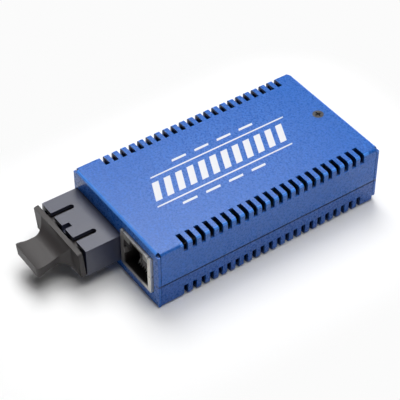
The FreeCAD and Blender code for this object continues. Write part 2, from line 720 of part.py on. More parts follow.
def board_standoffs():
    """Four tapped bushes pressed into the floor, under the board."""
    body = new_body("board_standoffs")
    outer, spigot = S.standoff_diameter / 2, S.standoff_spigot / 2
    tapped = S.board_thread / 2 + S.thread_gap
    lift = S.sheet + S.board_lift
    spots = board_hole_spots()
    steps = (("Spigots", spigot, 0, S.sheet), ("Bushes", outer, S.sheet, S.board_lift))
    for name, radius, low, height in steps:
        discs = Drawing(body, name, "XY", low)
        for x, y in spots:
            discs.circle(x, y, radius)
        pad(body, discs, height)
    threads = Drawing(body, "StandoffThreads", "XY", lift)
    for x, y in spots:
        threads.circle(x, y, tapped)
    pocket(body, threads, lift)
    return body


def board_screws():
    """Four pan-head screws that hold the board on its standoffs."""
    body = new_body("board_screws", 0, 0, BOARD_TOP)
    head, thread = S.board_head / 2, S.board_thread / 2
    spots = board_hole_spots()
    shanks = Drawing(body, "ScrewShanks", "XY")
    heads = Drawing(body, "ScrewHeads", "XY")
    for x, y in spots:
        shanks.circle(x, y, thread)
        heads.circle(x, y, head)
    pad(body, shanks, S.board_screw_length, back=True)
    pad(body, heads, S.board_head_height)
    cross_recess(body, "BoardScrewCrosses", S.board_head_height, head * 0.55, spots)
    return body


# ---------------------------------------------------------------- the circuit board

def main_board():
    """The circuit board, with the holes for everything that passes through it."""
    half = S.case_width / 2 - S.sheet - S.board_gap
    front, back = FRONT + S.sheet + S.board_gap, BACK - S.sheet - S.board_gap
    body = new_body("main_board", 0, 0, BOARD_TOP)
    outline = Drawing(body, "BoardOutline", "XY")
    outline.rectangle(-half, front, half, back, 0.8)
    pad(body, outline, S.board_thickness, back=True)
    screws = Drawing(body, "BoardScrewHoles", "XY")
    for x, y in board_hole_spots():
        screws.circle(x, y, S.board_thread / 2 + S.board_hole_gap)
    screws.circle(S.pillar_x, PILLAR_Y, S.pillar_diameter / 2 + S.board_hole_gap)
    for side in (-1, 1):
        screws.circle(S.module_x + side * S.post_span / 2, MODULE_FRONT + S.post_back,
                      S.post_diameter / 2 + S.lead_gap)
    pocket(body, screws, S.board_thickness)
    pins = Drawing(body, "ModulePinHole", "XY")
    pins.circle(S.module_x - (S.pin_count - 1) * S.pin_pitch / 2, MODULE_FRONT + S.pin_back,
                S.pin_size * 0.71 + S.lead_gap)
    first = pocket(body, pins, S.board_thickness)
    row(body, [first], "X", S.pin_pitch, S.pin_count)
    lan = Drawing(body, "LanPinHoles", "XY")
    for shift, y in ((0, LAN_PIN_ROW), (1, LAN_PIN_ROW + S.contact_row)):
        lan.circle(S.lan_x + (shift - 3.5) * S.contact_pitch, LAN_FRONT + y + S.contact_sheet / 2,
                   S.contact_width / 2 + S.lead_gap)
    contacts = pocket(body, lan, S.board_thickness)
    row(body, [contacts], "X", 2 * S.contact_pitch, 4)
    rest = Drawing(body, "TabHoles", "XY")
    for side in (-1, 1):
        x = S.lan_x + side * (S.lan_width / 2 - S.shield_sheet / 2)
        tab_hole(rest, x, LAN_FRONT + S.shield_tab_back, S.shield_sheet, S.shield_tab)
        for lead in (-1, 1):
            x = S.lan_x + side * S.lamp_spacing / 2 + lead * S.pin_pitch / 4
            tab_hole(rest, x, LAN_FRONT + LAN_WALL_REAR - S.lamp_lead, S.lamp_lead, S.lamp_lead)
    for x, y, wide, deep in power_tabs():
        tab_hole(rest, S.power_x + x, BACK + y, wide, deep)
    pocket(body, rest, S.board_thickness)
    return body


def tab_hole(drawing, x, y, wide, deep):
    """A rectangular hole round a tab centred on x, y."""
    w, d = wide / 2 + S.lead_gap, deep / 2 + S.lead_gap
    drawing.rectangle(x - w, y - d, x + w, y + d)


# ---------------------------------------------------------------- the optical transceiver

def transceiver_housing():
    """Moulded housing with two optical ports in front and a chamber behind, open underneath."""
    body = new_body("transceiver_housing", S.module_x, MODULE_FRONT, BOARD_TOP)
    half, tall = S.module_width / 2, S.module_height
    section = Drawing(body, "HousingSection", "XZ")
    section.rectangle(-half, 0, half, tall, 0.2)
    pad(body, section, S.module_length, back=True)
    posts = Drawing(body, "HousingPosts", "XY")
    for side in (-1, 1):
        posts.circle(side * S.post_span / 2, S.post_back, S.post_diameter / 2)
    pad(body, posts, S.lead_drop, back=True)
    ports = Drawing(body, "Ports", "XZ")
    for x in MODULE_PORTS:
        ports.rectangle(x - S.port_width / 2, PORT_AXIS - S.port_height / 2,
                        x + S.port_width / 2, PORT_AXIS + S.port_height / 2, 0.3)
    pocket(body, ports, S.port_depth)
    chamber = Drawing(body, "Chamber", "XY")
    chamber.rectangle(-CHAMBER_HALF, CHAMBER_FRONT, CHAMBER_HALF, CHAMBER_BACK, 0.4)
    pocket(body, chamber, tall - S.module_wall, along=True)
    seats = Drawing(body, "NoseHoles", "XZ", S.port_depth)
    for x in MODULE_PORTS:
        seats.circle(x, PORT_AXIS, S.nose_diameter / 2 + S.nose_gap)
    pocket(body, seats, S.partition)
    keys = Drawing(body, "KeySlots", "XY", tall)
    for x in MODULE_PORTS:
        left, right, end = x - S.key_width / 2, x + S.key_width / 2, S.key_length - S.key_width / 2
        keys.outline([(left, -1), (right, -1), (right, end), "sweep on", (left, end)])
    pocket(body, keys, (tall - S.port_height) / 2)
    notch = Drawing(body, "MiddleNotch", "XY", tall)
    notch.rectangle(-S.notch_width / 2, -1, S.notch_width / 2, S.notch_length)
    pocket(body, notch, S.notch_depth)
    return body


def transceiver_base():
    """Plate that closes the rear chamber; the pins pass through it."""
    body = new_body("transceiver_base", S.module_x, MODULE_FRONT, BOARD_TOP)
    gap = S.module_base_gap
    plate = Drawing(body, "BasePlate", "XY")
    plate.rectangle(-CHAMBER_HALF + gap, CHAMBER_FRONT + gap, CHAMBER_HALF - gap, CHAMBER_BACK - gap, 0.4)
    pad(body, plate, S.module_base)
    slot = Drawing(body, "PinSlot", "XY", S.module_base)
    reach = (S.pin_count - 1) * S.pin_pitch / 2 + S.pin_size
    slot.rectangle(-reach, S.pin_back - S.pin_size, reach, S.pin_back + S.pin_size)
    pocket(body, slot, S.module_base)
    return body


def transceiver_board():
    """The transceiver's own small board, carried by its pins."""
    body = new_body("transceiver_board", S.module_x, MODULE_FRONT, BOARD_TOP + S.module_board_lift)
    plate = Drawing(body, "SmallBoard", "XY")
    edge = CHAMBER_HALF - 0.3
    start = CHAMBER_FRONT + S.head_flange_length + S.head_can_length + 0.6
    plate.rectangle(-edge, start, edge, CHAMBER_BACK - 0.3)
    pad(body, plate, S.module_board)
    return body


def transceiver_pins():
    """Nine square pins from the small board through the main board."""
    first = S.module_x - (S.pin_count - 1) * S.pin_pitch / 2
    body = new_body("transceiver_pins", first, MODULE_FRONT + S.pin_back, BOARD_TOP - S.lead_drop)
    section = Drawing(body, "PinSection", "XY")
    reach = S.pin_size / 2
    section.rectangle(-reach, -reach, reach, reach)
    pin = pad(body, section, S.lead_drop + S.module_board_lift)
    row(body, [pin], "X", S.pin_pitch, S.pin_count)
    return body


def optical_head(label, x):
    """Turned metal head: ferrule bore in front, flange against the partition, can and leads behind."""
    body = new_body(label, S.module_x + x, MODULE_FRONT, BOARD_TOP + PORT_AXIS)
    bore, nose = S.ferrule_bore / 2, S.nose_diameter / 2
    mouth = S.nose_recess
    floor = mouth + S.ferrule_depth
    seat = CHAMBER_FRONT
    flange_back = seat + S.head_flange_length
    can_back = flange_back + S.head_can_length
    profile = Drawing(body, "%sProfile" % label.title().replace("_", ""), "YZ")
    profile.outline([
        (mouth, bore), (floor, bore), (floor, 0), (can_back, 0), (can_back, S.head_can / 2),
        (flange_back, S.head_can / 2), (flange_back, S.head_flange / 2), (seat, S.head_flange / 2),
        (seat, nose), (mouth, nose)])
    turned(body, profile, "H_Axis")
    leads = Drawing(body, "%sLeads" % label.title().replace("_", ""), "XZ", can_back)
    circle = S.head_lead_circle
    for px, pz in ((circle, 0), (-circle, 0), (0, -circle)):
        leads.circle(px, pz, S.head_lead / 2)
    pad(body, leads, S.head_lead_length, back=True)
    return body


def port_latches():
    """Two plastic clips, one at the end of each port, whose arms hold a connector."""
    body = new_body("port_latches", S.module_x, MODULE_FRONT, BOARD_TOP + PORT_AXIS)
    half, arm, hook = S.latch_span / 2, S.latch_arm, S.latch_hook
    root = S.port_depth - S.latch_plate
    front = root - S.latch_arm_length
    plates = Drawing(body, "LatchPlates", "XZ", root)
    arms = Drawing(body, "LatchArms", "XY")
    for x in MODULE_PORTS:
        plates.rectangle(x - half, -S.latch_plate_height / 2, x + half, S.latch_plate_height / 2, 0.5)
        plates.circle(x, 0, S.nose_diameter / 2 + S.nose_gap)
        for sign in (-1, 1):
            outer, inner = x + sign * half, x + sign * (half - arm)
            tip = x + sign * (half - arm - hook)
            ring = [(outer, root), (outer, front), (inner, front), (tip, front + S.latch_hook_length / 2),
                    (tip, front + S.latch_hook_length), (inner, front + S.latch_hook_length), (inner, root)]
            arms.outline(ring[::-sign])
    pad(body, plates, S.latch_plate, back=True)
    pad(body, arms, S.latch_arm_height, both=True)
    return body


def hanging(ahead, up):
    """Side-view place on the drooping plug: ahead of the flange's back face, up from its middle."""
    sine = Size(math.sin(math.radians(number(S.plug_droop))), "sin(Sizes.plug_droop)")
    cosine = Size(math.cos(math.radians(number(S.plug_droop))), "cos(Sizes.plug_droop)")
    low = S.plug_flange_height / 2
    return (-S.plug_gap - (up + low) * sine - ahead * cosine, -low + (up + low) * cosine - ahead * sine)


def dust_plug():
    """One rubber moulding: two hollow prongs, and a flange and waisted grip that hang forward a little."""
    body = new_body("dust_plug", S.module_x, MODULE_FRONT, BOARD_TOP + PORT_AXIS)
    face, root = S.plug_flange, S.grip_root_height / 2
    neck_front, neck = face + S.grip_sweep, S.neck_thickness / 2
    neck_end = neck_front + S.neck_length
    end, tip = face + S.grip_length, S.grip_end_thickness / 2
    side = Drawing(body, "GripSide", "YZ", S.plug_shift)
    side.outline([
        hanging(face / 2, root), hanging(face, root), "sweep off", hanging(neck_front, neck),
        hanging(neck_end, neck), "sweep on", hanging(end, tip), hanging(end, -tip), "sweep off",
        hanging(neck_end, -neck), hanging(neck_front, -neck), "sweep on", hanging(face, -root),
        hanging(face / 2, -root)])
    pad(body, side, S.grip_root_width, both=True)

    wide, waist, broad = S.grip_root_width / 2, S.grip_neck_width / 2, S.grip_end_width / 2
    over = wide + 1.0
    root_y, waist_y = hanging(face, 0)[0], hanging(neck_front, 0)[0]
    end_y, middle = hanging(end, 0)[0] - 1.0, S.plug_shift
    plan = Drawing(body, "GripPlan", "XY", S.plug_flange_height)
    plan.outline([(middle + broad, end_y), (middle + waist, waist_y), "sweep on", (middle + wide, root_y),
                  (middle + over, root_y), (middle + over, end_y)])
    plan.outline([(middle - over, end_y), (middle - over, root_y), (middle - wide, root_y), "sweep off",
                  (middle - waist, waist_y), (middle - broad, end_y)])
    grip = pocket(body, plan, 2 * S.plug_flange_height)
    front = number(hanging(end, 0)[0])
    soften(body, grip, S.grip_corner, lambda edge: abs(edge.CenterOfMass.y - front) < 0.2
           and edge.BoundBox.ZLength > 2.0)

    flange = Drawing(body, "PlugFlange", "YZ", S.plug_shift)
    high = S.plug_flange_height / 2
    flange.outline([hanging(0, -high), hanging(0, high), hanging(face, high), hanging(face, -high)])
    plate = pad(body, flange, S.plug_flange_width, both=True)
    reach, thick = number(S.plug_flange_width / 2), number(face)
    soften(body, plate, S.plug_flange_corner, lambda edge: abs(edge.Length - thick) < 0.01
           and abs(abs(edge.CenterOfMass.x - number(middle)) - reach) < 0.01)

    inside = hanging(face / 2, 0)[0]
    outer, bore = S.prong_size / 2, S.prong_bore / 2
    prongs = Drawing(body, "Prongs", "XZ", inside)
    hollows = Drawing(body, "ProngHollows", "XZ", S.prong_length)
    for x in MODULE_PORTS:
        prongs.rectangle(x - outer, -outer, x + outer, outer, S.prong_corner)
        hollows.circle(x, 0, bore)
    pad(body, prongs, S.prong_length - inside, back=True)
    pocket(body, hollows, S.prong_length + S.plug_gap, along=True)
    return body


# ---------------------------------------------------------------- the network jack

def lan_jack_shield():
    """Folded metal shield, open underneath, with a frame round the port and tabs through the board."""
    body = new_body("lan_jack_shield", S.lan_x, LAN_FRONT, BOARD_TOP)
    half, tall, sheet = S.lan_width / 2, S.lan_height, S.shield_sheet
    shell = Drawing(body, "ShieldSection", "XZ")
    shell.rectangle(-half, 0, half, tall, 0.25)
    pad(body, shell, S.lan_length, back=True)
    inside = Drawing(body, "ShieldInside", "XY")
    inside.rectangle(-half + sheet, sheet, half - sheet, S.lan_length - sheet)
    pocket(body, inside, tall - sheet, along=True)
    frame = Drawing(body, "ShieldFrame", "XZ")
    side = half - S.shield_side_band
    frame.rectangle(-side, S.shield_bottom_band, side, tall - S.shield_top_band, 0.3)
    pocket(body, frame, sheet)
    slits = Drawing(body, "ShieldSlits", "XY", tall)
    for sign in (-1, 1):
        x = sign * S.shield_slit_spacing / 2
        slits.rectangle(x - S.shield_slit / 2, -1, x + S.shield_slit / 2, S.shield_slit_length)
    pocket(body, slits, S.shield_top_band)
    tabs = Drawing(body, "ShieldTabs", "YZ", half - sheet)
    reach = S.shield_tab / 2
    tabs.rectangle(S.shield_tab_back - reach, -S.lead_drop, S.shield_tab_back + reach, sheet)
    right = pad(body, tabs, sheet)
    finger = Drawing(body, "GroundFinger", "XY", S.finger_base)
    inner = half - S.shield_side_band
    finger.outline([(inner + 0.1, 0), (inner + 0.1, sheet), (inner, sheet),
                    (inner - S.finger_reach, S.finger_length),
                    (inner - S.finger_reach - 0.2, S.finger_length), (inner - 0.25, 0.1), (inner - 0.1, 0)])
    spring = pad(body, finger, S.finger_height)
    both = body.newObject("PartDesign::Mirrored", "ShieldBothSides")
    both.Originals = [right, spring]
    both.MirrorPlane = (origin_feature(body, "YZ_Plane"), [""])
    body.Tip = both
    return body


def lan_jack_housing():
    """Black moulding with the port, its latch notch, the comb for the contacts and two lamp pockets."""
    body = new_body("lan_jack_housing", S.lan_x, LAN_FRONT, BOARD_TOP)
    inset = S.shield_sheet + S.lan_gap
    half, top = S.lan_width / 2 - inset, S.lan_height - inset
    section = Drawing(body, "JackSection", "XZ", inset)
    section.rectangle(-half, 0, half, top)
    pad(body, section, S.lan_length - 2 * inset, back=True)
    floor = S.lan_port_floor
    roof = floor + S.lan_port_height
    ledge = roof + S.latch_notch_height
    port, wide, tip = S.lan_port_width / 2, S.latch_notch_width / 2, S.latch_tip_width / 2
    opening = Drawing(body, "JackPort", "XZ", inset)
    opening.outline([
        (-port, floor), (port, floor), (port, roof), (wide, roof), (wide, ledge), (tip, ledge),
        (tip, ledge + S.latch_tip_height), (-tip, ledge + S.latch_tip_height), (-tip, ledge),
        (-wide, ledge), (-wide, roof), (-port, roof)])
    pocket(body, opening, S.lan_port_depth - inset)
    relief = Drawing(body, "FingerRelief", "XZ", inset)
    for sign in (-1, 1):
        inner, outer = sign * (port - 0.05), sign * (half - 0.5)
        low, high = S.finger_base - 0.3, S.finger_base + S.finger_height + 0.3
        relief.outline([(inner, low), (outer, low), (outer, high), (inner, high)][::sign])
    pocket(body, relief, S.finger_length + 1.0)
    lamps = Drawing(body, "LampPockets", "XZ", inset)
    for sign in (-1, 1):
        lamp_outline(lamps, sign, S.lamp_gap, top)
    pocket(body, lamps, LAN_WALL_REAR)
    rear = Drawing(body, "RearChamber", "XY")
    rear.rectangle(-half + 0.8, LAN_WALL_REAR - 1.0, half - 0.8, S.lan_length)
    pocket(body, rear, top - 1.0, along=True)
    comb = Drawing(body, "ContactSlot", "XY", floor)
    first = -3.5 * S.contact_pitch
    reach = S.contact_slot / 2
    comb.rectangle(first - reach, S.contact_front - 0.4, first + reach, LAN_WALL_REAR)
    slot = pocket(body, comb, floor)
    row(body, [slot], "X", S.contact_pitch, 8)
    return body


def lamp_outline(drawing, sign, gap, top):
    """Rounded rectangle of a lamp or of its pocket, in a top corner of the jack."""
    x = sign * S.lamp_spacing / 2
    wide = S.lamp_width / 2 + gap
    low = top - 0.5 - S.lamp_height
    drawing.rectangle(x - wide, low - gap, x + wide, low + S.lamp_height + gap, 0.3)


def lan_jack_contacts():
    """Eight spring contacts, whose pins stand in two rows."""
    start = -3.5 * S.contact_pitch
    body = new_body("lan_jack_contacts", S.lan_x + start, LAN_FRONT, BOARD_TOP)
    sheet = S.contact_sheet
    low, run = 0.35, S.contact_sheet + 0.35
    front = S.contact_front
    knee_y, knee_z = front + S.contact_knee, S.lan_port_floor + S.contact_rise
    tip_y, tip_z = S.contact_tip_back, S.lan_port_floor + S.contact_tip_rise
    wires = []
    for name, shift, pin in (("Near", 0, LAN_PIN_ROW), ("Far", 1, LAN_PIN_ROW + S.contact_row)):
        wire = Drawing(body, "Contact" + name, "YZ", shift * S.contact_pitch)
        wire.outline([
            (pin, -S.lead_drop), (pin + sheet, -S.lead_drop), (pin + sheet, run), (front + 1.4 * sheet, run),
            (knee_y + 0.7 * sheet, knee_z - 0.4 * sheet), (tip_y, tip_z - sheet), (tip_y, tip_z),
            (knee_y, knee_z + sheet * 0.5), (front, run), (front, low), (pin, low)])
        wires.append(pad(body, wire, S.contact_width, both=True))
    row(body, wires, "X", 2 * S.contact_pitch, 4)
    return body


def lan_jack_lamps():
    """Two lamps in the top corners of the jack, each with two leads down to the board."""
    body = new_body("lan_jack_lamps", S.lan_x, LAN_FRONT, BOARD_TOP)
    inset = S.shield_sheet + S.lan_gap
    top = S.lan_height - inset
    lens = Drawing(body, "LampLens", "XZ", inset)
    for sign in (-1, 1):
        lamp_outline(lens, sign, 0, top)
    pad(body, lens, S.lamp_length, back=True)
    lead = S.lamp_lead
    mid = top - 0.5 - S.lamp_height / 2
    back = LAN_WALL_REAR - lead / 2
    for sign in (-1, 1):
        for step in (-1, 1):
            x = sign * S.lamp_spacing / 2 + step * S.pin_pitch / 4
            wire = Drawing(body, "LampLead", "YZ", x)
            wire.outline([(inset + S.lamp_length, mid), (back - lead, mid), (back - lead, -S.lead_drop),
                          (back, -S.lead_drop), (back, mid + lead), (inset + S.lamp_length, mid + lead)])
            pad(body, wire, lead, both=True)
    return body


# ---------------------------------------------------------------- the power jack

def power_tabs():
    """Soldering tabs of the power jack: middle x, middle y, width and depth of each."""
    wall = -S.power_length
    spring = -S.power_bore_depth + 2.6
    return [(0, wall - S.tab_sheet / 2, S.tab_width, S.tab_sheet),
            (0, spring, S.tab_width, S.tab_sheet),
            (-S.power_barrel / 2 - S.tab_sheet / 2, spring, S.tab_sheet, S.tab_width)]


def power_jack_housing():
    """Black moulding: square front block, narrower arched body, round socket."""
    body = new_body("power_jack_housing", S.power_x, BACK, BOARD_TOP)
    half, barrel, axis = S.power_width / 2, S.power_barrel / 2, S.power_axis
    front = Drawing(body, "PowerBlock", "XZ")
    front.rectangle(-half, 0, half, S.power_height, 0.4)
    pad(body, front, S.power_block)
    arch = Drawing(body, "PowerBody", "XZ")
    arch.outline([(-barrel, 0), (barrel, 0), (barrel, axis), "sweep on", (-barrel, axis)])
    pad(body, arch, S.power_length)
    bore = Drawing(body, "PowerBore", "XZ")
    bore.circle(0, axis, S.power_bore / 2)
    pocket(body, bore, S.power_bore_depth, along=True)
    pin = Drawing(body, "PowerPinHole", "XZ")
    pin.circle(0, axis, S.power_pin_shank / 2 + S.power_pin_gap)
    pocket(body, pin, S.power_length, along=True)
    spring = Drawing(body, "PowerSpringSlot", "XY")
    wide = S.tab_width / 2 + S.power_pin_gap
    spring.rectangle(-wide, -S.power_bore_depth, wide, -S.power_block)
    pocket(body, spring, axis, along=True)
    return body


def power_jack_pin():
    """Centre pin with a rounded tip and a thicker shank, riveted to its soldering tab behind the housing."""
    body = new_body("power_jack_pin", S.power_x, BACK, BOARD_TOP)
    radius, axis = S.power_pin / 2, S.power_axis
    shaft = Drawing(body, "PinShaft", "XZ", -S.power_pin_recess)
    shaft.circle(0, axis, radius)
    tip = number(-S.power_pin_recess)
    whole = pad(body, shaft, S.power_length - S.power_pin_recess)
    soften(body, whole, radius * 0.6, lambda edge: abs(edge.CenterOfMass.y - tip) < 1e-6)
    shank = Drawing(body, "PinShank", "XZ", -S.power_bore_depth)
    shank.circle(0, axis, S.power_pin_shank / 2)
    pad(body, shank, S.power_length - S.power_bore_depth)
    tab = Drawing(body, "PinTab", "XZ", -S.power_length)
    wide, high = S.tab_width / 2, axis + S.power_pin_shank / 2
    tab.rectangle(-wide, -S.lead_drop, wide, high)
    pad(body, tab, S.tab_sheet)
    return body


def power_jack_spring():
    """Bent spring that touches the plug's sleeve, with its tab through the board."""
    body = new_body("power_jack_spring", S.power_x, BACK, BOARD_TOP)
    sheet = S.tab_sheet
    middle = -S.power_bore_depth + 2.6
    bore_low = S.power_axis - S.power_bore / 2
    side = Drawing(body, "SpringSide", "YZ")
    front = -S.power_block - 0.3
    side.outline([
        (middle - sheet / 2, -S.lead_drop), (middle + sheet / 2, -S.lead_drop),
        (middle + sheet / 2, bore_low - 1.6), (front, bore_low - 0.5), (front, bore_low - 0.5 + sheet),
        (middle + 1.2, bore_low + 0.6), (middle - sheet / 2, bore_low - 1.6 + sheet)])
    pad(body, side, S.tab_width, both=True)
    return body


def power_jack_switch():
    """Side contact of the power jack, with its tab through the board."""
    x, y, wide, deep = power_tabs()[2]
    body = new_body("power_jack_switch", S.power_x, BACK, BOARD_TOP)
    tab = Drawing(body, "SwitchTab", "YZ", x)
    tab.outline([(y - deep / 2, -S.lead_drop), (y + deep / 2, -S.lead_drop), (y + deep / 2, S.power_axis),
                 (y - deep / 2, S.power_axis)])
    pad(body, tab, wide, both=True)
    return body


# ---------------------------------------------------------------- the parts on the board

def chip_body(body, length, width, height):
    """A moulded chip body with bevelled upper edges."""
    plan = Drawing(body, "ChipBody", "XY", S.chip_lift)
    plan.rectangle(-length / 2, -width / 2, length / 2, width / 2)
    base = pad(body, plan, height - S.chip_lift)
    top = number(height)
    soften(body, base, 0.2, lambda edge: abs(edge.CenterOfMass.z - top) < 1e-3, "Chamfer")
    return base


def leaded_chip(label, spot, length, width, height, lead_width, pitch, count):
    """A chip with a row of gull-wing leads along its front and back sides."""
    body = new_body(label, spot[0], spot[1], BOARD_TOP)
    chip_body(body, length, width, height)
    rise = height / 2
    leads = []
    for name, sign in (("BackLead", 1), ("FrontLead", -1)):
        sheet, reach = S.lead_sheet, S.lead_reach
        bend = width / 2 + reach - S.lead_foot
        first = -(count - 1) * pitch / 2
        lead = Drawing(body, name, "YZ", first)
        path = [(width / 2 - 0.1, rise), (bend - sheet, rise), (bend - sheet, 0), (width / 2 + reach, 0),
                (width / 2 + reach, sheet), (bend, sheet), (bend, rise + sheet),
                (width / 2 - 0.1, rise + sheet)]
        lead.outline([(sign * y, z) for y, z in path][::sign])
        leads.append(pad(body, lead, lead_width, both=True))
    row(body, leads, "X", pitch, count)
    return body


def converter_chip():
    """The chip that converts between fibre and copper, with leads on four sides."""
    body = leaded_chip("converter_chip", CHIP_SPOT, S.chip_side, S.chip_side, S.chip_height,
                       S.chip_lead_width, S.chip_lead_pitch, S.chip_leads)
    half, rise = S.chip_side / 2, S.chip_height / 2
    sheet, reach = S.lead_sheet, S.lead_reach
    bend = half + reach - S.lead_foot
    first = -(S.chip_leads - 1) * S.chip_lead_pitch / 2
    path = [(half - 0.1, rise), (bend - sheet, rise), (bend - sheet, 0), (half + reach, 0),
            (half + reach, sheet), (bend, sheet), (bend, rise + sheet), (half - 0.1, rise + sheet)]
    leads = []
    for name, sign in (("RightLead", 1), ("LeftLead", -1)):
        lead = Drawing(body, name, "XZ", first)
        lead.outline([(sign * x, z) for x, z in path][::sign])
        leads.append(pad(body, lead, S.chip_lead_width, both=True))
    row(body, leads, "Y", S.chip_lead_pitch, S.chip_leads)
    return body


def lan_transformer():
    """The network transformer between the jack and the chip."""
    return leaded_chip("lan_transformer", TRANSFORMER_SPOT, S.transformer_length, S.transformer_width,
                       S.transformer_height, 0.5, S.transformer_pitch, S.transformer_leads)


def memory_chip():
    """The small chip that holds the settings."""
    return leaded_chip("memory_chip", MEMORY_SPOT, S.memory_length, S.memory_width, S.memory_height,
                       0.45, S.transformer_pitch, 4)


def crystal():
    """Metal-canned crystal that gives the clock."""
    x, y = CRYSTAL_SPOT
    body = new_body("crystal", x, y, BOARD_TOP)
    for name, rim, low, height in (("CrystalBase", 0, 0, 0.8), ("CrystalCan", S.crystal_rim, 0.8,
                                                               S.crystal_height - 0.8)):
        radius = S.crystal_width / 2 - rim
        reach = S.crystal_length / 2 - S.crystal_width / 2
        plan = Drawing(body, name, "XY", low)
        plan.outline([(-reach, -radius), (reach, -radius), "sweep on", (reach, radius), (-reach, radius),
                      "sweep on"])
        pad(body, plan, height)
    return body


def bulk_capacitors():
    """Two aluminium cans on square plastic bases."""
    x, y = CAPACITOR_SPOT
    body = new_body("bulk_capacitors", x, y, BOARD_TOP)
    half = S.capacitor_diameter / 2 + 0.15
    base = Drawing(body, "CapacitorBase", "XY")
    base.rectangle(-half, -half, half, half, 0.6)
    foot = pad(body, base, S.capacitor_base)
    profile = Drawing(body, "CapacitorCan", "XZ")
    radius, low, tall = S.capacitor_diameter / 2, S.capacitor_base, S.capacitor_height
    profile.outline([(0, low), (radius - 0.3, low), (radius - 0.3, low + 0.5), (radius, low + 0.9),
                     (radius, tall - 0.3), (radius - 0.3, tall), (0, tall)])
    can = turned(body, profile)
    row(body, [foot, can], "X", S.capacitor_pitch, 2)
    return body


def voltage_regulator():
    """Regulator with a wide tab behind and three leads in front."""
    x, y = REGULATOR_SPOT
    body = new_body("voltage_regulator", x, y, BOARD_TOP)
    chip_body(body, S.regulator_length, S.regulator_width, S.regulator_height)
    edge, rise, sheet = S.regulator_width / 2, S.regulator_height / 2, S.lead_sheet * 2
    reach = S.lead_reach + 0.5
    bend = edge + reach - S.lead_foot
    path = [(edge - 0.1, rise), (bend - sheet, rise), (bend - sheet, 0), (edge + reach, 0),
            (edge + reach, sheet), (bend, sheet), (bend, rise + sheet), (edge - 0.1, rise + sheet)]
    tab = Drawing(body, "RegulatorTab", "YZ")
    tab.outline(path)
    pad(body, tab, 3.0, both=True)
    lead = Drawing(body, "RegulatorLead", "YZ", -2.3)
    lead.outline([(-y, z) for y, z in path][::-1])
    first = pad(body, lead, 0.7, both=True)
    row(body, [first], "X", 2.3, 3)
    return body


def power_inductor():
    """Drum-wound inductor on a square base."""
    x, y = INDUCTOR_SPOT
    body = new_body("power_inductor", x, y, BOARD_TOP)
    half, tall = S.inductor_side / 2, S.inductor_height
    base = Drawing(body, "InductorBase", "XY")
    base.rectangle(-half, -half, half, half, 1.2)
    pad(body, base, 0.8)
    profile = Drawing(body, "InductorDrum", "XZ")
    profile.outline([(0, 0.8), (half - 0.7, 0.8), (half - 0.7, tall - 0.8), (half, tall - 0.8), (half, tall),
                     (0, tall)])
    turned(body, profile)
    return body


def small_chips(label, spots, sizes):
    """Two-ended surface-mount parts, one solid each, narrower between their metal ends."""
    length, width, height = sizes
    pieces = []
    for index, (x, y) in enumerate(spots):
        name = "%s%d" % (label.title().replace("_", ""), index)
        core = (length - 2 * CHIP_END, width - 0.08, height - 0.04)
        middle = block(name + "Middle", *core, x, y, BOARD_TOP + 0.02)
        reach = (length - CHIP_END) / 2
        ends = [block(name + word, CHIP_END, width, height, x + side * reach, y, BOARD_TOP)
                for word, side in (("Left", -1), ("Right", 1))]
        pieces.append(fuse(name, [middle] + ends))
    return group(label, pieces)


# ---------------------------------------------------------------- build and export

def build():
    """Make every sub-part and return them."""
    fill_sheet()
    return [
        top_cover(), bottom_tray(), cover_pillar(), cover_screw(), board_standoffs(), board_screws(),
        main_board(), transceiver_housing(), transceiver_base(), transceiver_board(), transceiver_pins(),
        optical_head("transmit_head", MODULE_PORTS[0]), optical_head("receive_head", MODULE_PORTS[1]),
        port_latches(), dust_plug(),
        lan_jack_shield(), lan_jack_housing(), lan_jack_contacts(), lan_jack_lamps(),
        power_jack_housing(), power_jack_pin(), power_jack_spring(), power_jack_switch(),
        converter_chip(), lan_transformer(), memory_chip(), crystal(), bulk_capacitors(),
        voltage_regulator(), power_inductor(),
        small_chips("chip_capacitors", CAPACITOR_CHIP_SPOTS, CAPACITOR_CHIP),
        small_chips("chip_resistors", RESISTOR_CHIP_SPOTS, RESISTOR_CHIP),
    ]


def check(nodes):
    """Stop if an object failed to build or a sub-part has no valid solid."""
    for thing in DOC.Objects:
        if "Invalid" in thing.State or "Error" in thing.State:
            raise RuntimeError("%s (%s) did not build: %s" % (thing.Label, thing.Name, thing.State))
    for node in nodes:
        if node.Shape.isNull() or not node.Shape.isValid() or not node.Shape.Solids:
            raise RuntimeError("%s has no valid solid" % node.Label)


def export(nodes):
    """Write each sub-part to a STEP file named after it."""
    os.makedirs("parts", exist_ok=True)
    for node in nodes:
        node.Shape.exportStep("parts/%s.step" % node.Label)
        print("%-22s %2d solids %10.2f mm3" % (node.Label, len(node.Shape.Solids), node.Shape.Volume))


NODES = build()
DOC.recompute()
check(NODES)
export(NODES)
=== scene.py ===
"""Finishes and studio for a small fibre media converter in a vented blue steel case."""

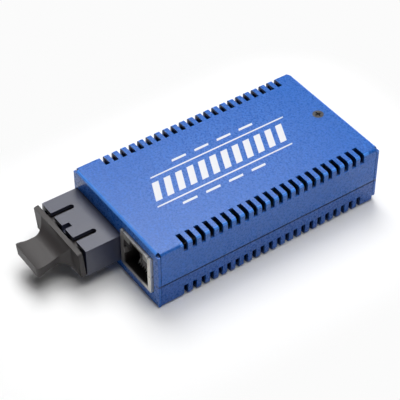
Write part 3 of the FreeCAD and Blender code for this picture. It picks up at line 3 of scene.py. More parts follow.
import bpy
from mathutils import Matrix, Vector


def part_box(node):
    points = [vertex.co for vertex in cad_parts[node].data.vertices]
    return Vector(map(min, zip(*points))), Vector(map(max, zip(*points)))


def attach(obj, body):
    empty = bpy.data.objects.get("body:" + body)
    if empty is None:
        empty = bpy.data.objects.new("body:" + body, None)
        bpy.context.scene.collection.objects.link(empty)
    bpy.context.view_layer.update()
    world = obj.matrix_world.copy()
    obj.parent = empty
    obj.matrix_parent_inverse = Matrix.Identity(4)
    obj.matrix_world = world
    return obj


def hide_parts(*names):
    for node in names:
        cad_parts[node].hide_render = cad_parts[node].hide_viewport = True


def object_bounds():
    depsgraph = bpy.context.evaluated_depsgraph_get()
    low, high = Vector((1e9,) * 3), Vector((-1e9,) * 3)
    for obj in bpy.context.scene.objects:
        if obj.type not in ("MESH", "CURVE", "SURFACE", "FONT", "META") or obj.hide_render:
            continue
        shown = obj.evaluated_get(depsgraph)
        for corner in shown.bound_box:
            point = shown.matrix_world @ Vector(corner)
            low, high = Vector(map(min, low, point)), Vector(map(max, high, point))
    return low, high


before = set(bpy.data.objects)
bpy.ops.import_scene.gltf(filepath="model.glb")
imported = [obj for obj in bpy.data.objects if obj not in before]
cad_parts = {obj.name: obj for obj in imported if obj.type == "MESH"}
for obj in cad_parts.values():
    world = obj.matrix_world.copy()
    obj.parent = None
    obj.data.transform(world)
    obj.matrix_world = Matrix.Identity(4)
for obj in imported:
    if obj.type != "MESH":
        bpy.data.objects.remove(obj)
CAD_BOX = [list(corner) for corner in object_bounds()]

import logging
import math
from dataclasses import dataclass, field, replace
from enum import Enum
from typing import Any, ClassVar, Dict, List, Optional, Tuple, Union

import bmesh
import bpy
from mathutils import Vector

LOG = logging.getLogger("media_converter")
MM = 0.001
Rgb = Tuple[float, float, float]
Triple = Tuple[float, float, float]
Span = Tuple[float, float]
Nodes = Dict[str, "Stock"]


# ---------------------------------------------------------------- shader maths

class Value:
    """A node's number socket that can be used in Python expressions."""

    def __init__(self, graph: "Graph", socket: bpy.types.NodeSocket) -> None:
        """Wraps an output socket of a node in the graph."""
        self.graph = graph
        self.socket = socket

    def _math(self, operation: str, *inputs: Any) -> "Value":
        """Adds one Math node.

        Args:
            operation: the node's operation.
            inputs: what it works on, Values or numbers, in order.

        Returns:
            The node's result.
        """
        node = self.graph.node("ShaderNodeMath", {"operation": operation}, dict(enumerate(inputs)))
        return Value(self.graph, node.outputs[0])

    def __add__(self, other: Any) -> "Value":
        """Sum."""
        return self._math("ADD", self, other)

    def __sub__(self, other: Any) -> "Value":
        """Difference."""
        return self._math("SUBTRACT", self, other)

    def __rsub__(self, other: Any) -> "Value":
        """Difference from a number."""
        return self._math("SUBTRACT", other, self)

    def __mul__(self, other: Any) -> "Value":
        """Product."""
        return self._math("MULTIPLY", self, other)

    def __gt__(self, other: Any) -> "Value":
        """1 where greater."""
        return self._math("GREATER_THAN", self, other)

    def __lt__(self, other: Any) -> "Value":
        """1 where less."""
        return self._math("LESS_THAN", self, other)

    def __or__(self, other: Any) -> "Value":
        """The larger of the two."""
        return self._math("MAXIMUM", self, other)

    def absolute(self) -> "Value":
        """Size without sign."""
        return self._math("ABSOLUTE", self)

    def wrapped(self) -> "Value":
        """Fractional part."""
        return self._math("FRACT", self)

    def between(self, low: float, high: float) -> "Value":
        """1 inside a range."""
        return (self > low) * (self < high)

    def over(self, low: float, high: float) -> "Value":
        """Spreads 0 to 1 over a range."""
        return self * (high - low) + low

    def step(self, low: float, high: float, first: float = 0.0, last: float = 1.0) -> "Value":
        """Adds a smooth step.

        Args:
            low: where the step starts.
            high: where the step ends.
            first: the result at low and below.
            last: the result at high and above.

        Returns:
            The step's result.
        """
        node = self.graph.node("ShaderNodeMapRange", {"interpolation_type": "SMOOTHSTEP"},
                               dict(enumerate((self, low, high, first, last))))
        return Value(self.graph, node.outputs[0])


class Graph:
    """A node tree that is filled node by node."""

    def __init__(self, tree: bpy.types.NodeTree) -> None:
        """Empties the tree."""
        self.tree = tree
        self.tree.nodes.clear()

    def node(self, kind: str, settings: Optional[Dict[str, Any]] = None,
             inputs: Optional[Dict[Any, Any]] = None) -> bpy.types.Node:
        """Adds a node, its settings first and then its sockets.

        Args:
            kind: the node's type.
            settings: properties such as an operation.
            inputs: socket name or index to a Value, a socket, a number, a colour or a vector.

        Returns:
            The new node.
        """
        made = self.tree.nodes.new(kind)
        for key, item in (settings or {}).items():
            setattr(made, key, item)
        for key, item in (inputs or {}).items():
            self.feed(made.inputs[key], item)
        return made

    def feed(self, socket: bpy.types.NodeSocket, item: Any) -> None:
        """Links or sets one socket.

        Args:
            socket: the input socket.
            item: a Value, a socket, a number, a colour or a vector.
        """
        if isinstance(item, Value):
            self.tree.links.new(item.socket, socket)
        elif isinstance(item, bpy.types.NodeSocket):
            self.tree.links.new(item, socket)
        elif isinstance(item, tuple) and len(item) == 3 and len(socket.default_value) == 4:
            socket.default_value = item + (1.0,)
        else:
            socket.default_value = item

    def rays(self) -> Tuple[Value, Value]:
        """Tells what kind of ray is being traced.

        Returns:
            1 for a ray from the camera, and 1 for a ray off metal or through clear plastic.
        """
        paths = self.node("ShaderNodeLightPath").outputs
        camera, glossy, clear = (
            Value(self, paths[name])
            for name in ("Is Camera Ray", "Is Glossy Ray", "Is Transmission Ray"))
        return camera, glossy | clear


class MaterialGraph(Graph):
    """The node tree of one material, with a Principled shader."""

    def __init__(self, name: str) -> None:
        """Makes the material, its shader and its output.

        Args:
            name: the material's name.
        """
        self.material = bpy.data.materials.new(name)
        self.material.use_nodes = True
        super().__init__(self.material.node_tree)
        self.shader = self.node("ShaderNodeBsdfPrincipled")
        self.out = self.node("ShaderNodeOutputMaterial", inputs={"Surface": self.shader.outputs[0]})

    def vector(self) -> bpy.types.NodeSocket:
        """Object coordinates in metres."""
        return self.node("ShaderNodeTexCoord").outputs["Object"]

    def millimetres(self, vector: bpy.types.NodeSocket) -> Tuple[Value, ...]:
        """The x, y and z of a vector in metres, each in millimetres."""
        split = self.node("ShaderNodeSeparateXYZ", inputs={0: vector})
        return tuple(Value(self, out) * (1.0 / MM) for out in split.outputs)

    def mapped(self, vector: bpy.types.NodeSocket, **sockets: Triple) -> bpy.types.NodeSocket:
        """A vector after a Mapping node with these sockets set."""
        return self.node("ShaderNodeMapping", inputs={"Vector": vector, **sockets}).outputs[0]

    def noise(self, vector: bpy.types.NodeSocket, scale: float, detail: float = 2.0,
              roughness: float = 0.5) -> Value:
        """Adds a noise.

        Args:
            vector: where the noise is read.
            scale: cells in a metre.
            detail: how many finer layers are added.
            roughness: how strong the finer layers are.

        Returns:
            A number between 0 and 1.
        """
        made = self.node("ShaderNodeTexNoise", inputs={
            "Vector": vector, "Scale": scale, "Detail": detail, "Roughness": roughness})
        return Value(self, made.outputs["Fac"])

    def mix(self, share: Any, first: Any, second: Any) -> bpy.types.NodeSocket:
        """Mixes two colours.

        Args:
            share: how much of the second colour there is, 0 to 1.
            first: a colour or a socket.
            second: a colour or a socket.

        Returns:
            The mixed colour.
        """
        made = self.node("ShaderNodeMix", {"data_type": "RGBA"}, {0: share})
        colours = [socket for socket in made.inputs if socket.type == "RGBA"]
        self.feed(colours[0], first)
        self.feed(colours[1], second)
        return next(socket for socket in made.outputs if socket.type == "RGBA")

    def bump(self, height: Value, depth: float) -> None:
        """Feeds the shader's normal from a height, depth in metres."""
        made = self.node("ShaderNodeBump", inputs={
            "Height": height, "Distance": depth, "Strength": 1.0})
        self.feed(self.shader.inputs["Normal"], made.outputs[0])

    def finish(self, **sockets: Any) -> bpy.types.Material:
        """Sets the shader's sockets.

        Args:
            sockets: each socket's name, with _ for a space, and what it takes.

        Returns:
            The finished material.
        """
        for key, item in sockets.items():
            self.feed(self.shader.inputs[key.replace("_", " ")], item)
        return self.material


# ---------------------------------------------------------------- finishes

@dataclass(frozen=True)
class Finish:
    """A named finish of one colour with slight unevenness.

    Noise scales are in cells a metre and the bump's depth is in metres.
    """

    name: str
    colour: Rgb
    roughness: float = 0.5
    metallic: float = 0.0
    spread: float = 0.12
    grain: float = 900.0
    depth: float = 0.00002
    gloss: float = 0.0
    gloss_roughness: float = 0.30
    clouds: float = 120.0
    cloud_share: float = 0.6
    uneven: Span = (-0.06, 0.06)

    def shades(self) -> Tuple[Rgb, Rgb]:
        """Makes the two ends of the colour's spread.

        Returns:
            The colour darkened and lightened.
        """
        dark = tuple(channel * (1.0 - self.spread) for channel in self.colour)
        light = tuple(min(1.0, channel * (1.0 + self.spread)) for channel in self.colour)
        return dark, light

    def rough(self, noise: Value) -> Value:
        """Roughness that follows a noise about the finish's own."""
        return noise.over(*(self.roughness + change for change in self.uneven))

    def material(self) -> bpy.types.Material:
        """Builds the material.

        Returns:
            The material.
        """
        graph = MaterialGraph(self.name)
        vector = graph.vector()
        cloud = graph.noise(vector, self.clouds, detail=3.0)
        fine = graph.noise(vector, self.grain)
        graph.bump(fine, self.depth)
        mottle = cloud * self.cloud_share + fine * (1.0 - self.cloud_share)
        return graph.finish(
            Base_Color=graph.mix(mottle, *self.shades()), Metallic=self.metallic,
            Roughness=self.rough(cloud), Coat_Roughness=self.gloss_roughness,
            Coat_Weight=self.gloss)


@dataclass(frozen=True)
class CaseShape:
    """Where the folded case's faces, folds and seam are, in millimetres, for its painted shade and
    painted highlight.
    """

    half: float
    front: float
    back: float
    top: float
    seam: float
    bend: float = 0.75
    bend_inset_front: float = 8.0
    bend_inset_back: float = 4.0
    hidden: float = 0.3
    gap: float = 0.32
    gap_depth: float = 1.5

    def inner(self, x: Value, y: Value, z: Value) -> Value:
        """Finds the faces behind the case's outside, which are painted in shade.

        Args:
            x: left to right, in millimetres.
            y: front to back, in millimetres.
            z: height, in millimetres.

        Returns:
            1 on faces that lie behind the case's outside.
        """
        across = x.absolute() < self.half - self.hidden
        along = (y > self.front + self.hidden) * (y < self.back - self.hidden)
        return across * (z < self.top - self.hidden) * (z > self.hidden) * along

    def seam_shadow(self, x: Value, z: Value) -> Value:
        """1 beside the seam along both sides, where a painted shadow line goes."""
        return ((z - self.seam).absolute() < self.gap) * (x.absolute() > self.half - self.gap_depth)

    def bend_highlights(self, x: Value, y: Value, z: Value) -> Value:
        """Finds where a painted highlight goes on the folds round the top.

        Args:
            x: left to right, in millimetres.
            y: front to back, in millimetres.
            z: height, in millimetres.

        Returns:
            1 on the front, back and long folds, where the highlight is painted.
        """
        along = y.between(self.front + self.bend_inset_front, self.back - self.bend_inset_back)
        long_bends = (x.absolute() > self.half - self.bend) * along
        near = long_bends | (y < self.front + self.bend) | (y > self.back - self.bend)
        return near * (z > self.top - self.bend)


@dataclass(frozen=True)
class TopPrint:
    """A plain pattern of slanted bars between rules and dashes, sizes in millimetres."""

    level: float
    ink: Rgb = (0.72, 0.73, 0.76)
    matt: float = 0.15
    start: float = -27.0
    end: float = 23.0
    pitch: float = 4.2
    bar: float = 2.35
    bar_half: float = 3.7
    slant: float = 0.45
    rules: Span = (5.6, 6.15)
    dashes: Span = (8.3, 9.2)
    dash_share: float = 0.62
    dash_inset: float = 8.0
    film: float = 0.05

    def mask(self, x: Value, y: Value, z: Value) -> Value:
        """Draws the pattern.

        Args:
            x: left to right, in millimetres.
            y: front to back, in millimetres.
            z: height, in millimetres.

        Returns:
            1 on the ink, 0 elsewhere.
        """
        across = x.absolute()
        along = y + x * self.slant
        bars = ((along - self.start) * (1.0 / self.pitch)).wrapped() < self.bar / self.pitch
        bars = bars * (across < self.bar_half) * along.between(self.start, self.end)
        rules = across.between(*self.rules) * along.between(self.start, self.end)
        dash = ((along - self.start) * (0.5 / self.pitch)).wrapped() < self.dash_share
        dashes = dash * across.between(*self.dashes) * along.between(
            self.start + self.dash_inset, self.end - self.dash_inset)
        return (bars | rules | dashes) * (z > self.level - self.film)


@dataclass(frozen=True)
class PowderCoat(Finish):
    """Pearly powder coat with a fine grain and print, painted shade on its hidden faces and along
    the seam, and a painted highlight on the top's folds.
    """

    grain: float = 1500.0
    depth: float = 0.00004
    clouds: float = 60.0
    uneven: Span = (-0.05, 0.05)
    specular: float = 0.42
    shade: Rgb = (0.004, 0.092, 0.415)
    pearl: Rgb = (0.024, 0.190, 0.69)
    # painted highlight: a lighter blue on the folds round the top
    bend_highlight: Rgb = (0.065, 0.265, 0.82)
    # painted shade: a dark navy for faces behind the outside and in the seam, which the case shades
    painted_inner_shade: Rgb = (0.010, 0.042, 0.16)
    inside_matt: float = 0.25
    turn: Triple = (0.61, 0.47, 0.35)
    flecks: Span = (0.45, 0.72)
    plain_share: Span = (0.3, 0.6)
    shape: CaseShape = field(kw_only=True)
    printed: Optional[TopPrint] = None

    def material(self) -> bpy.types.Material:
        """Builds the material, its noise turned so that no face lies along the cells.

        Returns:
            The material.
        """
        graph = MaterialGraph(self.name)
        straight = graph.vector()
        x, y, z = graph.millimetres(straight)
        vector = graph.mapped(straight, Rotation=self.turn)
        grain = graph.noise(vector, self.grain, roughness=0.65)
        cloud = graph.noise(vector, self.clouds)
        colour = graph.mix(grain.step(*self.flecks), self.shade, self.pearl)
        colour = graph.mix(cloud.over(*self.plain_share), colour, self.colour)
        # painted highlight on the folds round the top
        colour = graph.mix(self.shape.bend_highlights(x, y, z), colour, self.bend_highlight)
        # painted shade on faces behind the outside and, with the seam mask, a painted shadow line
        # along the seam
        inner_shade = self.shape.inner(x, y, z)
        colour = graph.mix(inner_shade | self.shape.seam_shadow(x, z), colour, self.painted_inner_shade)
        roughness = self.rough(grain) + inner_shade * self.inside_matt
        if self.printed:
            ink = self.printed.mask(x, y, z)
            colour = graph.mix(ink, colour, self.printed.ink)
            roughness = roughness + ink * self.printed.matt
        graph.bump(grain, self.depth)
        return graph.finish(Base_Color=colour, Roughness=roughness, Metallic=self.metallic,
                            Specular_IOR_Level=self.specular)


@dataclass(frozen=True)
class Metal(Finish):
    """Plated or drawn metal with a faint grain along one axis."""

    clouds: float = 200.0
    uneven: Span = (-0.07, 0.08)
    stretch: Triple = (1.0, 12.0, 1.0)

    def material(self) -> bpy.types.Material:
        """Builds the material.

        Returns:
            The material.
        """
        graph = MaterialGraph(self.name)
        vector = graph.vector()
        drawn = graph.noise(graph.mapped(vector, Scale=self.stretch), self.grain, roughness=0.6)
        cloud = graph.noise(vector, self.clouds, detail=3.0)
        graph.bump(drawn, self.depth)
        return graph.finish(Base_Color=graph.mix(cloud, *self.shades()), Metallic=self.metallic,
                            Roughness=self.rough(drawn))


@dataclass(frozen=True)
class ShieldPlate(Finish):
    """Plate on the jack's front frame, with a painted highlight on its right band and top and
    painted shade on the rest and where the case hides it.
    """

    depth: float = 0.000006
    clouds: float = 400.0
    # painted light: colour is the painted highlight, shade the painted shade of the rest of the
    # frame, and the next colour painted shadow behind the case's front
    shade: Rgb = (0.26, 0.25, 0.24)
    case_shadow: Rgb = (0.030, 0.028, 0.026)
    front: float = -41.0
    case_shadow_reach: float = 1.5
    right: Span = (14.5, 18.5)
    upper: Span = (13.0, 17.5)
    upper_share: float = 0.4
    bright_share: Span = (0.8, 1.0)

    def material(self) -> bpy.types.Material:
        """Builds the material.

        Returns:
            The material.
        """
        graph = MaterialGraph(self.name)
        vector = graph.vector()
        x, y, z = graph.millimetres(vector)
        cloud = graph.noise(vector, self.clouds)
        # painted highlight on the right band and, fainter, along the top
        lit = x.step(*self.right) | z.step(*self.upper) * self.upper_share
        bright = graph.mix(lit * cloud.over(*self.bright_share), self.shade, self.colour)
        # painted shadow on the faces behind the case's front
        hidden = y.step(self.front, self.front + self.case_shadow_reach)
        graph.bump(cloud, self.depth)
        return graph.finish(Base_Color=graph.mix(hidden, bright, self.case_shadow),
                            Metallic=self.metallic, Roughness=self.rough(cloud))


@dataclass(frozen=True)
class SolderMask(Finish):
    """Circuit board lacquer with tracks showing through."""

    depth: float = 0.00003
    gloss: float = 0.4
    track: Rgb = (0.05, 0.30, 0.16)
    tracks_per_mm: float = 0.9
    track_share: float = 0.35
    zones: float = 70.0
    breaks: float = 160.0
    break_share: float = 0.42

    def material(self) -> bpy.types.Material:
        """Builds the material.

        Returns:
            The material.
        """
        graph = MaterialGraph(self.name)
        vector = graph.vector()
        x, y, _ = graph.millimetres(vector)
        zone = graph.noise(vector, self.zones, detail=0.0) > 0.5
        lengthwise, crosswise = ((way * self.tracks_per_mm).wrapped() < self.track_share
                                 for way in (x, y))
        tracks = (zone * lengthwise) | ((1.0 - zone) * crosswise)
        tracks = tracks * (graph.noise(vector, self.breaks, detail=0.0) > self.break_share)
        graph.bump(tracks, self.depth)
        return graph.finish(Base_Color=graph.mix(tracks, self.colour, self.track),
                            Roughness=self.roughness, Coat_Weight=self.gloss)


@dataclass(frozen=True)
class Lens(Finish):
    """Milky lamp plastic that lets a little light through."""

    spread: float = 0.25
    clouds: float = 500.0
    clear: float = 0.25

    def material(self) -> bpy.types.Material:
        """Builds the material.

        Returns:
            The material.
        """
        graph = MaterialGraph(self.name)
        cloud = graph.noise(graph.vector(), self.clouds)
        _, light = self.shades()
        return graph.finish(Base_Color=graph.mix(cloud, self.colour, light),
                            Roughness=self.roughness, Transmission_Weight=self.clear)


class Stock(Enum):
    """The finishes that several pieces share."""

    NICKEL = Metal("nickel_plate", (0.60, 0.59, 0.57), 0.32, metallic=1.0)
    DARK_ZINC = Metal("dark_zinc", (0.085, 0.080, 0.078), 0.40, metallic=1.0, spread=0.2)
    TIN = Metal("tinned_lead", (0.66, 0.66, 0.64), 0.36, metallic=1.0)
    CONTACT = Metal("contact_plate", (0.90, 0.88, 0.83), 0.30, metallic=0.45, spread=0.05)
    SOLDER = Metal("solder", (0.62, 0.62, 0.61), 0.30, metallic=1.0)
    CAN = Metal("drawn_can", (0.74, 0.74, 0.73), 0.34, metallic=1.0)
    # the shield's colour is its painted highlight
    SHIELD = ShieldPlate("jack_shield", (0.88, 0.85, 0.77), 0.30, metallic=0.6)
    MODULE = Finish("module_plastic", (0.023, 0.028, 0.060), 0.43, spread=0.35, grain=500.0,
                    depth=0.00004, gloss=0.55)
    BLACK = Finish("black_plastic", (0.010, 0.008, 0.008), 0.42, spread=0.15, grain=2000.0,
                   depth=0.00001)
    CLIP = Finish("clip_plastic", (0.08, 0.08, 0.085))
    RUBBER = Finish("plug_rubber", (0.028, 0.0235, 0.0235), 0.55, spread=0.2, grain=2600.0,
                    gloss=0.1)
    EPOXY = Finish("chip_epoxy", (0.022, 0.022, 0.024), 0.55, grain=2500.0, depth=0.00001)
    FERRITE = Finish("ferrite", (0.07, 0.07, 0.075), 0.6)
    CERAMIC = Finish("tan_ceramic", (0.45, 0.32, 0.20), 0.45)
    BOARD = SolderMask("solder_mask", (0.020, 0.16, 0.08), 0.35)
    LAMP = Lens("lamp_lens", (0.30, 0.30, 0.29), 0.35)


class Palette:
    """Builds each finish once and puts it on nodes and pieces."""

    def __init__(self) -> None:
        """Starts with nothing built."""
        self.made: Dict[str, bpy.types.Material] = {}

    def get(self, finish: Union[Finish, Stock]) -> bpy.types.Material:
        """Builds a finish when it is first asked for.

        Args:
            finish: the finish or its stock name.

        Returns:
            Its material.
        """
        kind = finish.value if isinstance(finish, Stock) else finish
        if kind.name not in self.made:
            self.made[kind.name] = kind.material()
        return self.made[kind.name]

    def dress(self, item: bpy.types.Object, finish: Union[Finish, Stock]) -> None:
        """Puts one finish on the whole of an object.

        Args:
            item: the CAD node or piece.
            finish: the finish or its stock name.
        """
        material = self.get(finish)
        if not item.data.materials:
            item.data.materials.append(material)
        for slot in item.material_slots:
            slot.material = material


# ---------------------------------------------------------------- shared shaping

MERGE = 0.000002
FLAT_ANGLE = 0.5
EDGE_ANGLE = 32.0
SHARP_ANGLE = 40.0


def placed(name: str, data: bpy.types.ID) -> bpy.types.Object:
    """Adds an object to the scene.

    Args:
        name: the object's name.
        data: its mesh, lamp or camera.

    Returns:
        The object, at the origin.
    """
    item = bpy.data.objects.new(name, data)
    bpy.context.scene.collection.objects.link(item)
    return item


def aimed(item: bpy.types.Object, place: Triple, direction: Vector) -> None:
    """Puts a lamp or the camera in its place, facing a direction without roll.

    Args:
        item: the lamp or camera.
        place: where it goes, in metres.
        direction: where it looks.
    """
    item.location = place
    item.rotation_mode = "QUATERNION"
    item.rotation_quaternion = direction.to_track_quat("-Z", "Y")


def settled(piece: bpy.types.Object) -> None:
    """Turns what a piece's modifiers give into its plain mesh.

    Args:
        piece: the piece, whose modifiers are removed.
    """
    evaluated = piece.evaluated_get(bpy.context.evaluated_depsgraph_get())
    solid = bpy.data.meshes.new_from_object(evaluated)
    piece.modifiers.clear()
    piece.data = solid
    solid.name = piece.name


def smooth(piece: bpy.types.Object, angle: float) -> None:
    """Shades a mesh smooth, except across edges sharper than an angle in degrees."""
    piece.data.shade_smooth()
    piece.data.set_sharp_from_angle(angle=math.radians(angle))


def softened(node: str, name: str, width: float, segments: int = 2) -> bpy.types.Object:
    """Copies a CAD node's mesh and rounds its edges.

    Args:
        node: the CAD node.
        name: the new piece's name.
        width: edge rounding in millimetres.
        segments: steps across each rounding.

    Returns:
        The new piece, at the origin.
    """
    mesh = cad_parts[node].data.copy()
    mesh.name = name
    work = bmesh.new()
    work.from_mesh(mesh)
    bmesh.ops.remove_doubles(work, verts=work.verts, dist=MERGE)
    bmesh.ops.dissolve_limit(work, angle_limit=math.radians(FLAT_ANGLE), verts=work.verts,
                             edges=work.edges)
    work.to_mesh(mesh)
    work.free()
    if "custom_normal" in mesh.attributes:
        mesh.attributes.remove(mesh.attributes["custom_normal"])
    mesh.materials.clear()
    piece = placed(name, mesh)
    smooth(piece, SHARP_ANGLE)
    bevel = piece.modifiers.new("rounding", "BEVEL")
    bevel.width, bevel.segments = width * MM, segments
    bevel.limit_method, bevel.angle_limit = "ANGLE", math.radians(EDGE_ANGLE)
    bevel.miter_outer = "MITER_ARC"
    bevel.use_clamp_overlap = True
    bevel.harden_normals = True
    weighted = piece.modifiers.new("flat_faces_first", "WEIGHTED_NORMAL")
    weighted.weight, weighted.keep_sharp = 100, True
    settled(piece)
    return piece


def adopt(piece: bpy.types.Object, body: str, slot: str, *nodes: str) -> None:
    """Makes a piece ride on a body and stand for CAD nodes.

    Args:
        piece: the finished piece.
        body: the body it moves with.
        slot: the piece's material slot name; not used.
        nodes: the CAD nodes that it replaces.
    """
    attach(piece, body)
    if nodes:
        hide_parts(*nodes)


# ---------------------------------------------------------------- sub-assemblies

@dataclass
class Assembly:
    """A sub-assembly, with the finishes of the CAD nodes that it shows as they are."""

    palette: Palette
    finishes: ClassVar[Nodes] = {}

    def build(self) -> List[str]:
        """Dresses the nodes.

        Returns:
            The names of the pieces.
        """
        for node, finish in self.finishes.items():
            self.palette.dress(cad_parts[node], finish)
        return list(self.finishes)


@dataclass
class FoldedCase(Assembly):
    """The vented cover with its print, and the tray in the same blue made darker, painted shade for
    its less lit lower walls.
    """

    seam: float = 8.4
    blue: Rgb = (0.006, 0.112, 0.475)
    roughness: float = 0.28
    # painted shade: the tray's copy of the cover's blue, made darker as the lower walls get less
    # light
    tray_shaded_blue: Rgb = (0.004, 0.080, 0.37)
    tray_shaded_grain: Rgb = (0.003, 0.068, 0.33)

    def build(self) -> List[str]:
        """Dresses the cover and the tray.

        Returns:
            The names of the pieces.
        """
        low, high = (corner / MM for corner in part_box("top_cover"))
        shape = CaseShape(high.x, low.y, high.y, high.z, self.seam)
        cover = PowderCoat("printed_powder_coat", self.blue, self.roughness, shape=shape,
                           printed=TopPrint(high.z))
        # the tray takes a darker copy of the coat, painted shade
        tray = replace(cover, name="tray_shaded_powder_coat", colour=self.tray_shaded_blue,
                       shade=self.tray_shaded_grain, printed=None)
        self.palette.dress(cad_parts["top_cover"], cover)
        self.palette.dress(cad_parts["bottom_tray"], tray)
        return ["top_cover", "bottom_tray"]


@dataclass
class Fasteners(Assembly):
    """Screws, standoffs and the pillar."""

    finishes: ClassVar[Nodes] = {
        "cover_pillar": Stock.NICKEL, "board_standoffs": Stock.NICKEL,
        "board_screws": Stock.NICKEL, "cover_screw": Stock.DARK_ZINC}


@dataclass
class CircuitBoard(Assembly):
    """The main board and what is soldered to it."""

    finishes: ClassVar[Nodes] = {
        "main_board": Stock.BOARD, "transceiver_board": Stock.BOARD,
        "converter_chip": Stock.EPOXY, "lan_transformer": Stock.EPOXY,
        "memory_chip": Stock.EPOXY, "voltage_regulator": Stock.EPOXY, "crystal": Stock.CAN,
        "bulk_capacitors": Stock.CAN, "power_inductor": Stock.FERRITE,
        "chip_capacitors": Stock.CERAMIC, "chip_resistors": Stock.EPOXY}


@dataclass
class SolderJoints(Assembly):
    """Solder under the board, one cone round each lead that comes through.

    Sizes are in millimetres; spread is the share by which a joint's size varies.
    """

    underside: float = 2.7
    radius: float = 0.78
    tip: float = 0.36
    height: float = 0.55
    through: float = 0.2
    apart: float = 1.1
    spread: float = 0.12
    seed: int = 7
    sides: int = 12
    rings: int = 2
    sharp: float = 50.0
    soldered: ClassVar[Tuple[str, ...]] = (
        "transceiver_pins", "lan_jack_contacts", "lan_jack_lamps", "lan_jack_shield",
        "power_jack_pin", "power_jack_spring", "power_jack_switch")
    inputs: ClassVar[Dict[str, str]] = {
        "Radius": "NodeSocketFloat", "Tip": "NodeSocketFloat", "Height": "NodeSocketFloat",
        "Spread": "NodeSocketFloat", "Seed": "NodeSocketInt", "Material": "NodeSocketMaterial"}

    def leads(self) -> List[List[Vector]]:
        """Groups the mesh points under the board by the lead that they belong to.

        Returns:
            The points of each lead's end, in metres.
        """
        groups: List[List[Vector]] = []
        for node in self.soldered:
            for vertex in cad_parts[node].data.vertices:
                if vertex.co.z > (self.underside - self.through) * MM:
                    continue
                near = next((group for group in groups
                             if (group[0].xy - vertex.co.xy).length < self.apart * MM), None)
                if near is None:
                    groups.append([vertex.co.copy()])
                else:
                    near.append(vertex.co.copy())
        return groups

    def tips(self) -> List[Triple]:
        """Finds where the leads come out under the board.

        Returns:
            One place for each lead, in metres.
        """
        places = []
        for group in self.leads():
            xs, ys = [point.x for point in group], [point.y for point in group]
            places.append(((min(xs) + max(xs)) / 2.0, (min(ys) + max(ys)) / 2.0,
                           self.underside * MM))
        return places

    def tree(self) -> bpy.types.NodeTree:
        """Makes the tree that stands one cone, pointing down, on every point it is given.

        Returns:
            The Geometry Nodes tree.
        """
        tree = bpy.data.node_groups.new("solder_joints", "GeometryNodeTree")
        face = tree.interface
        for name, kind in {"Geometry": "NodeSocketGeometry", **self.inputs}.items():
            face.new_socket(name, in_out="INPUT", socket_type=kind)
        face.new_socket("Geometry", in_out="OUTPUT", socket_type="NodeSocketGeometry")
        graph = Graph(tree)
        given = graph.node("NodeGroupInput").outputs
        spread = Value(graph, given["Spread"])
        points = graph.node("GeometryNodeMeshToPoints", inputs={"Mesh": given["Geometry"]})
        cone = graph.node("GeometryNodeMeshCone", inputs={
            "Vertices": self.sides, "Side Segments": self.rings, "Radius Top": given["Tip"],
            "Radius Bottom": given["Radius"], "Depth": given["Height"]})
        scale = graph.node("FunctionNodeRandomValue")
        least, most, _, seed = (socket for socket in scale.inputs if socket.enabled)
        for socket, item in ((least, 1.0 - spread), (most, spread + 1.0), (seed, given["Seed"])):
            graph.feed(socket, item)
        stand = graph.node("GeometryNodeInstanceOnPoints", inputs={
            "Points": points.outputs["Points"], "Instance": cone.outputs["Mesh"],
            "Rotation": (math.pi, 0.0, 0.0),
            "Scale": next(socket for socket in scale.outputs if socket.enabled)})
        solid = graph.node("GeometryNodeRealizeInstances",
                           inputs={"Geometry": stand.outputs["Instances"]})
        paint = graph.node("GeometryNodeSetMaterial", inputs={
            "Geometry": solid.outputs["Geometry"], "Material": given["Material"]})
        graph.node("NodeGroupOutput", inputs={"Geometry": paint.outputs["Geometry"]})
        return tree

    def build(self) -> List[str]:
        """Puts the joints under the board.

        Returns:
            The names of the pieces.
        """
        mesh = bpy.data.meshes.new("solder_joints")
        mesh.from_pydata(self.tips(), [], [])
        piece = placed("solder_joints", mesh)
        modifier = piece.modifiers.new("solder_joints", "NODES")
        modifier.node_group = self.tree()
        values = {"Radius": self.radius * MM, "Tip": self.tip * MM, "Height": self.height * MM,
                  "Spread": self.spread, "Seed": self.seed,
                  "Material": self.palette.get(Stock.SOLDER)}
        for item in modifier.node_group.interface.items_tree:
            if item.in_out == "INPUT" and item.name in values:
                modifier[item.identifier] = values[item.name]
        settled(piece)
        smooth(piece, self.sharp)
        adopt(piece, "case", "tinned_lead")
        LOG.info("solder joints: %d", len(mesh.vertices))
        return ["solder_joints"]


@dataclass
class OpticalTransceiver(Assembly):
    """The duplex module, its optical heads, clips and pins."""

    edge: float = 0.22
    finishes: ClassVar[Nodes] = {
        "transceiver_base": Stock.MODULE, "transceiver_pins": Stock.TIN,
        "transmit_head": Stock.NICKEL, "receive_head": Stock.NICKEL, "port_latches": Stock.CLIP}

    def build(self) -> List[str]:
        """Rounds the housing's edges and dresses the module.

        Returns:
            The names of the pieces.
        """
        housing = softened("transceiver_housing", "module_shell", self.edge)
        adopt(housing, "case", "module_plastic", "transceiver_housing")
        self.palette.dress(housing, Stock.MODULE)
        return ["module_shell"] + super().build()


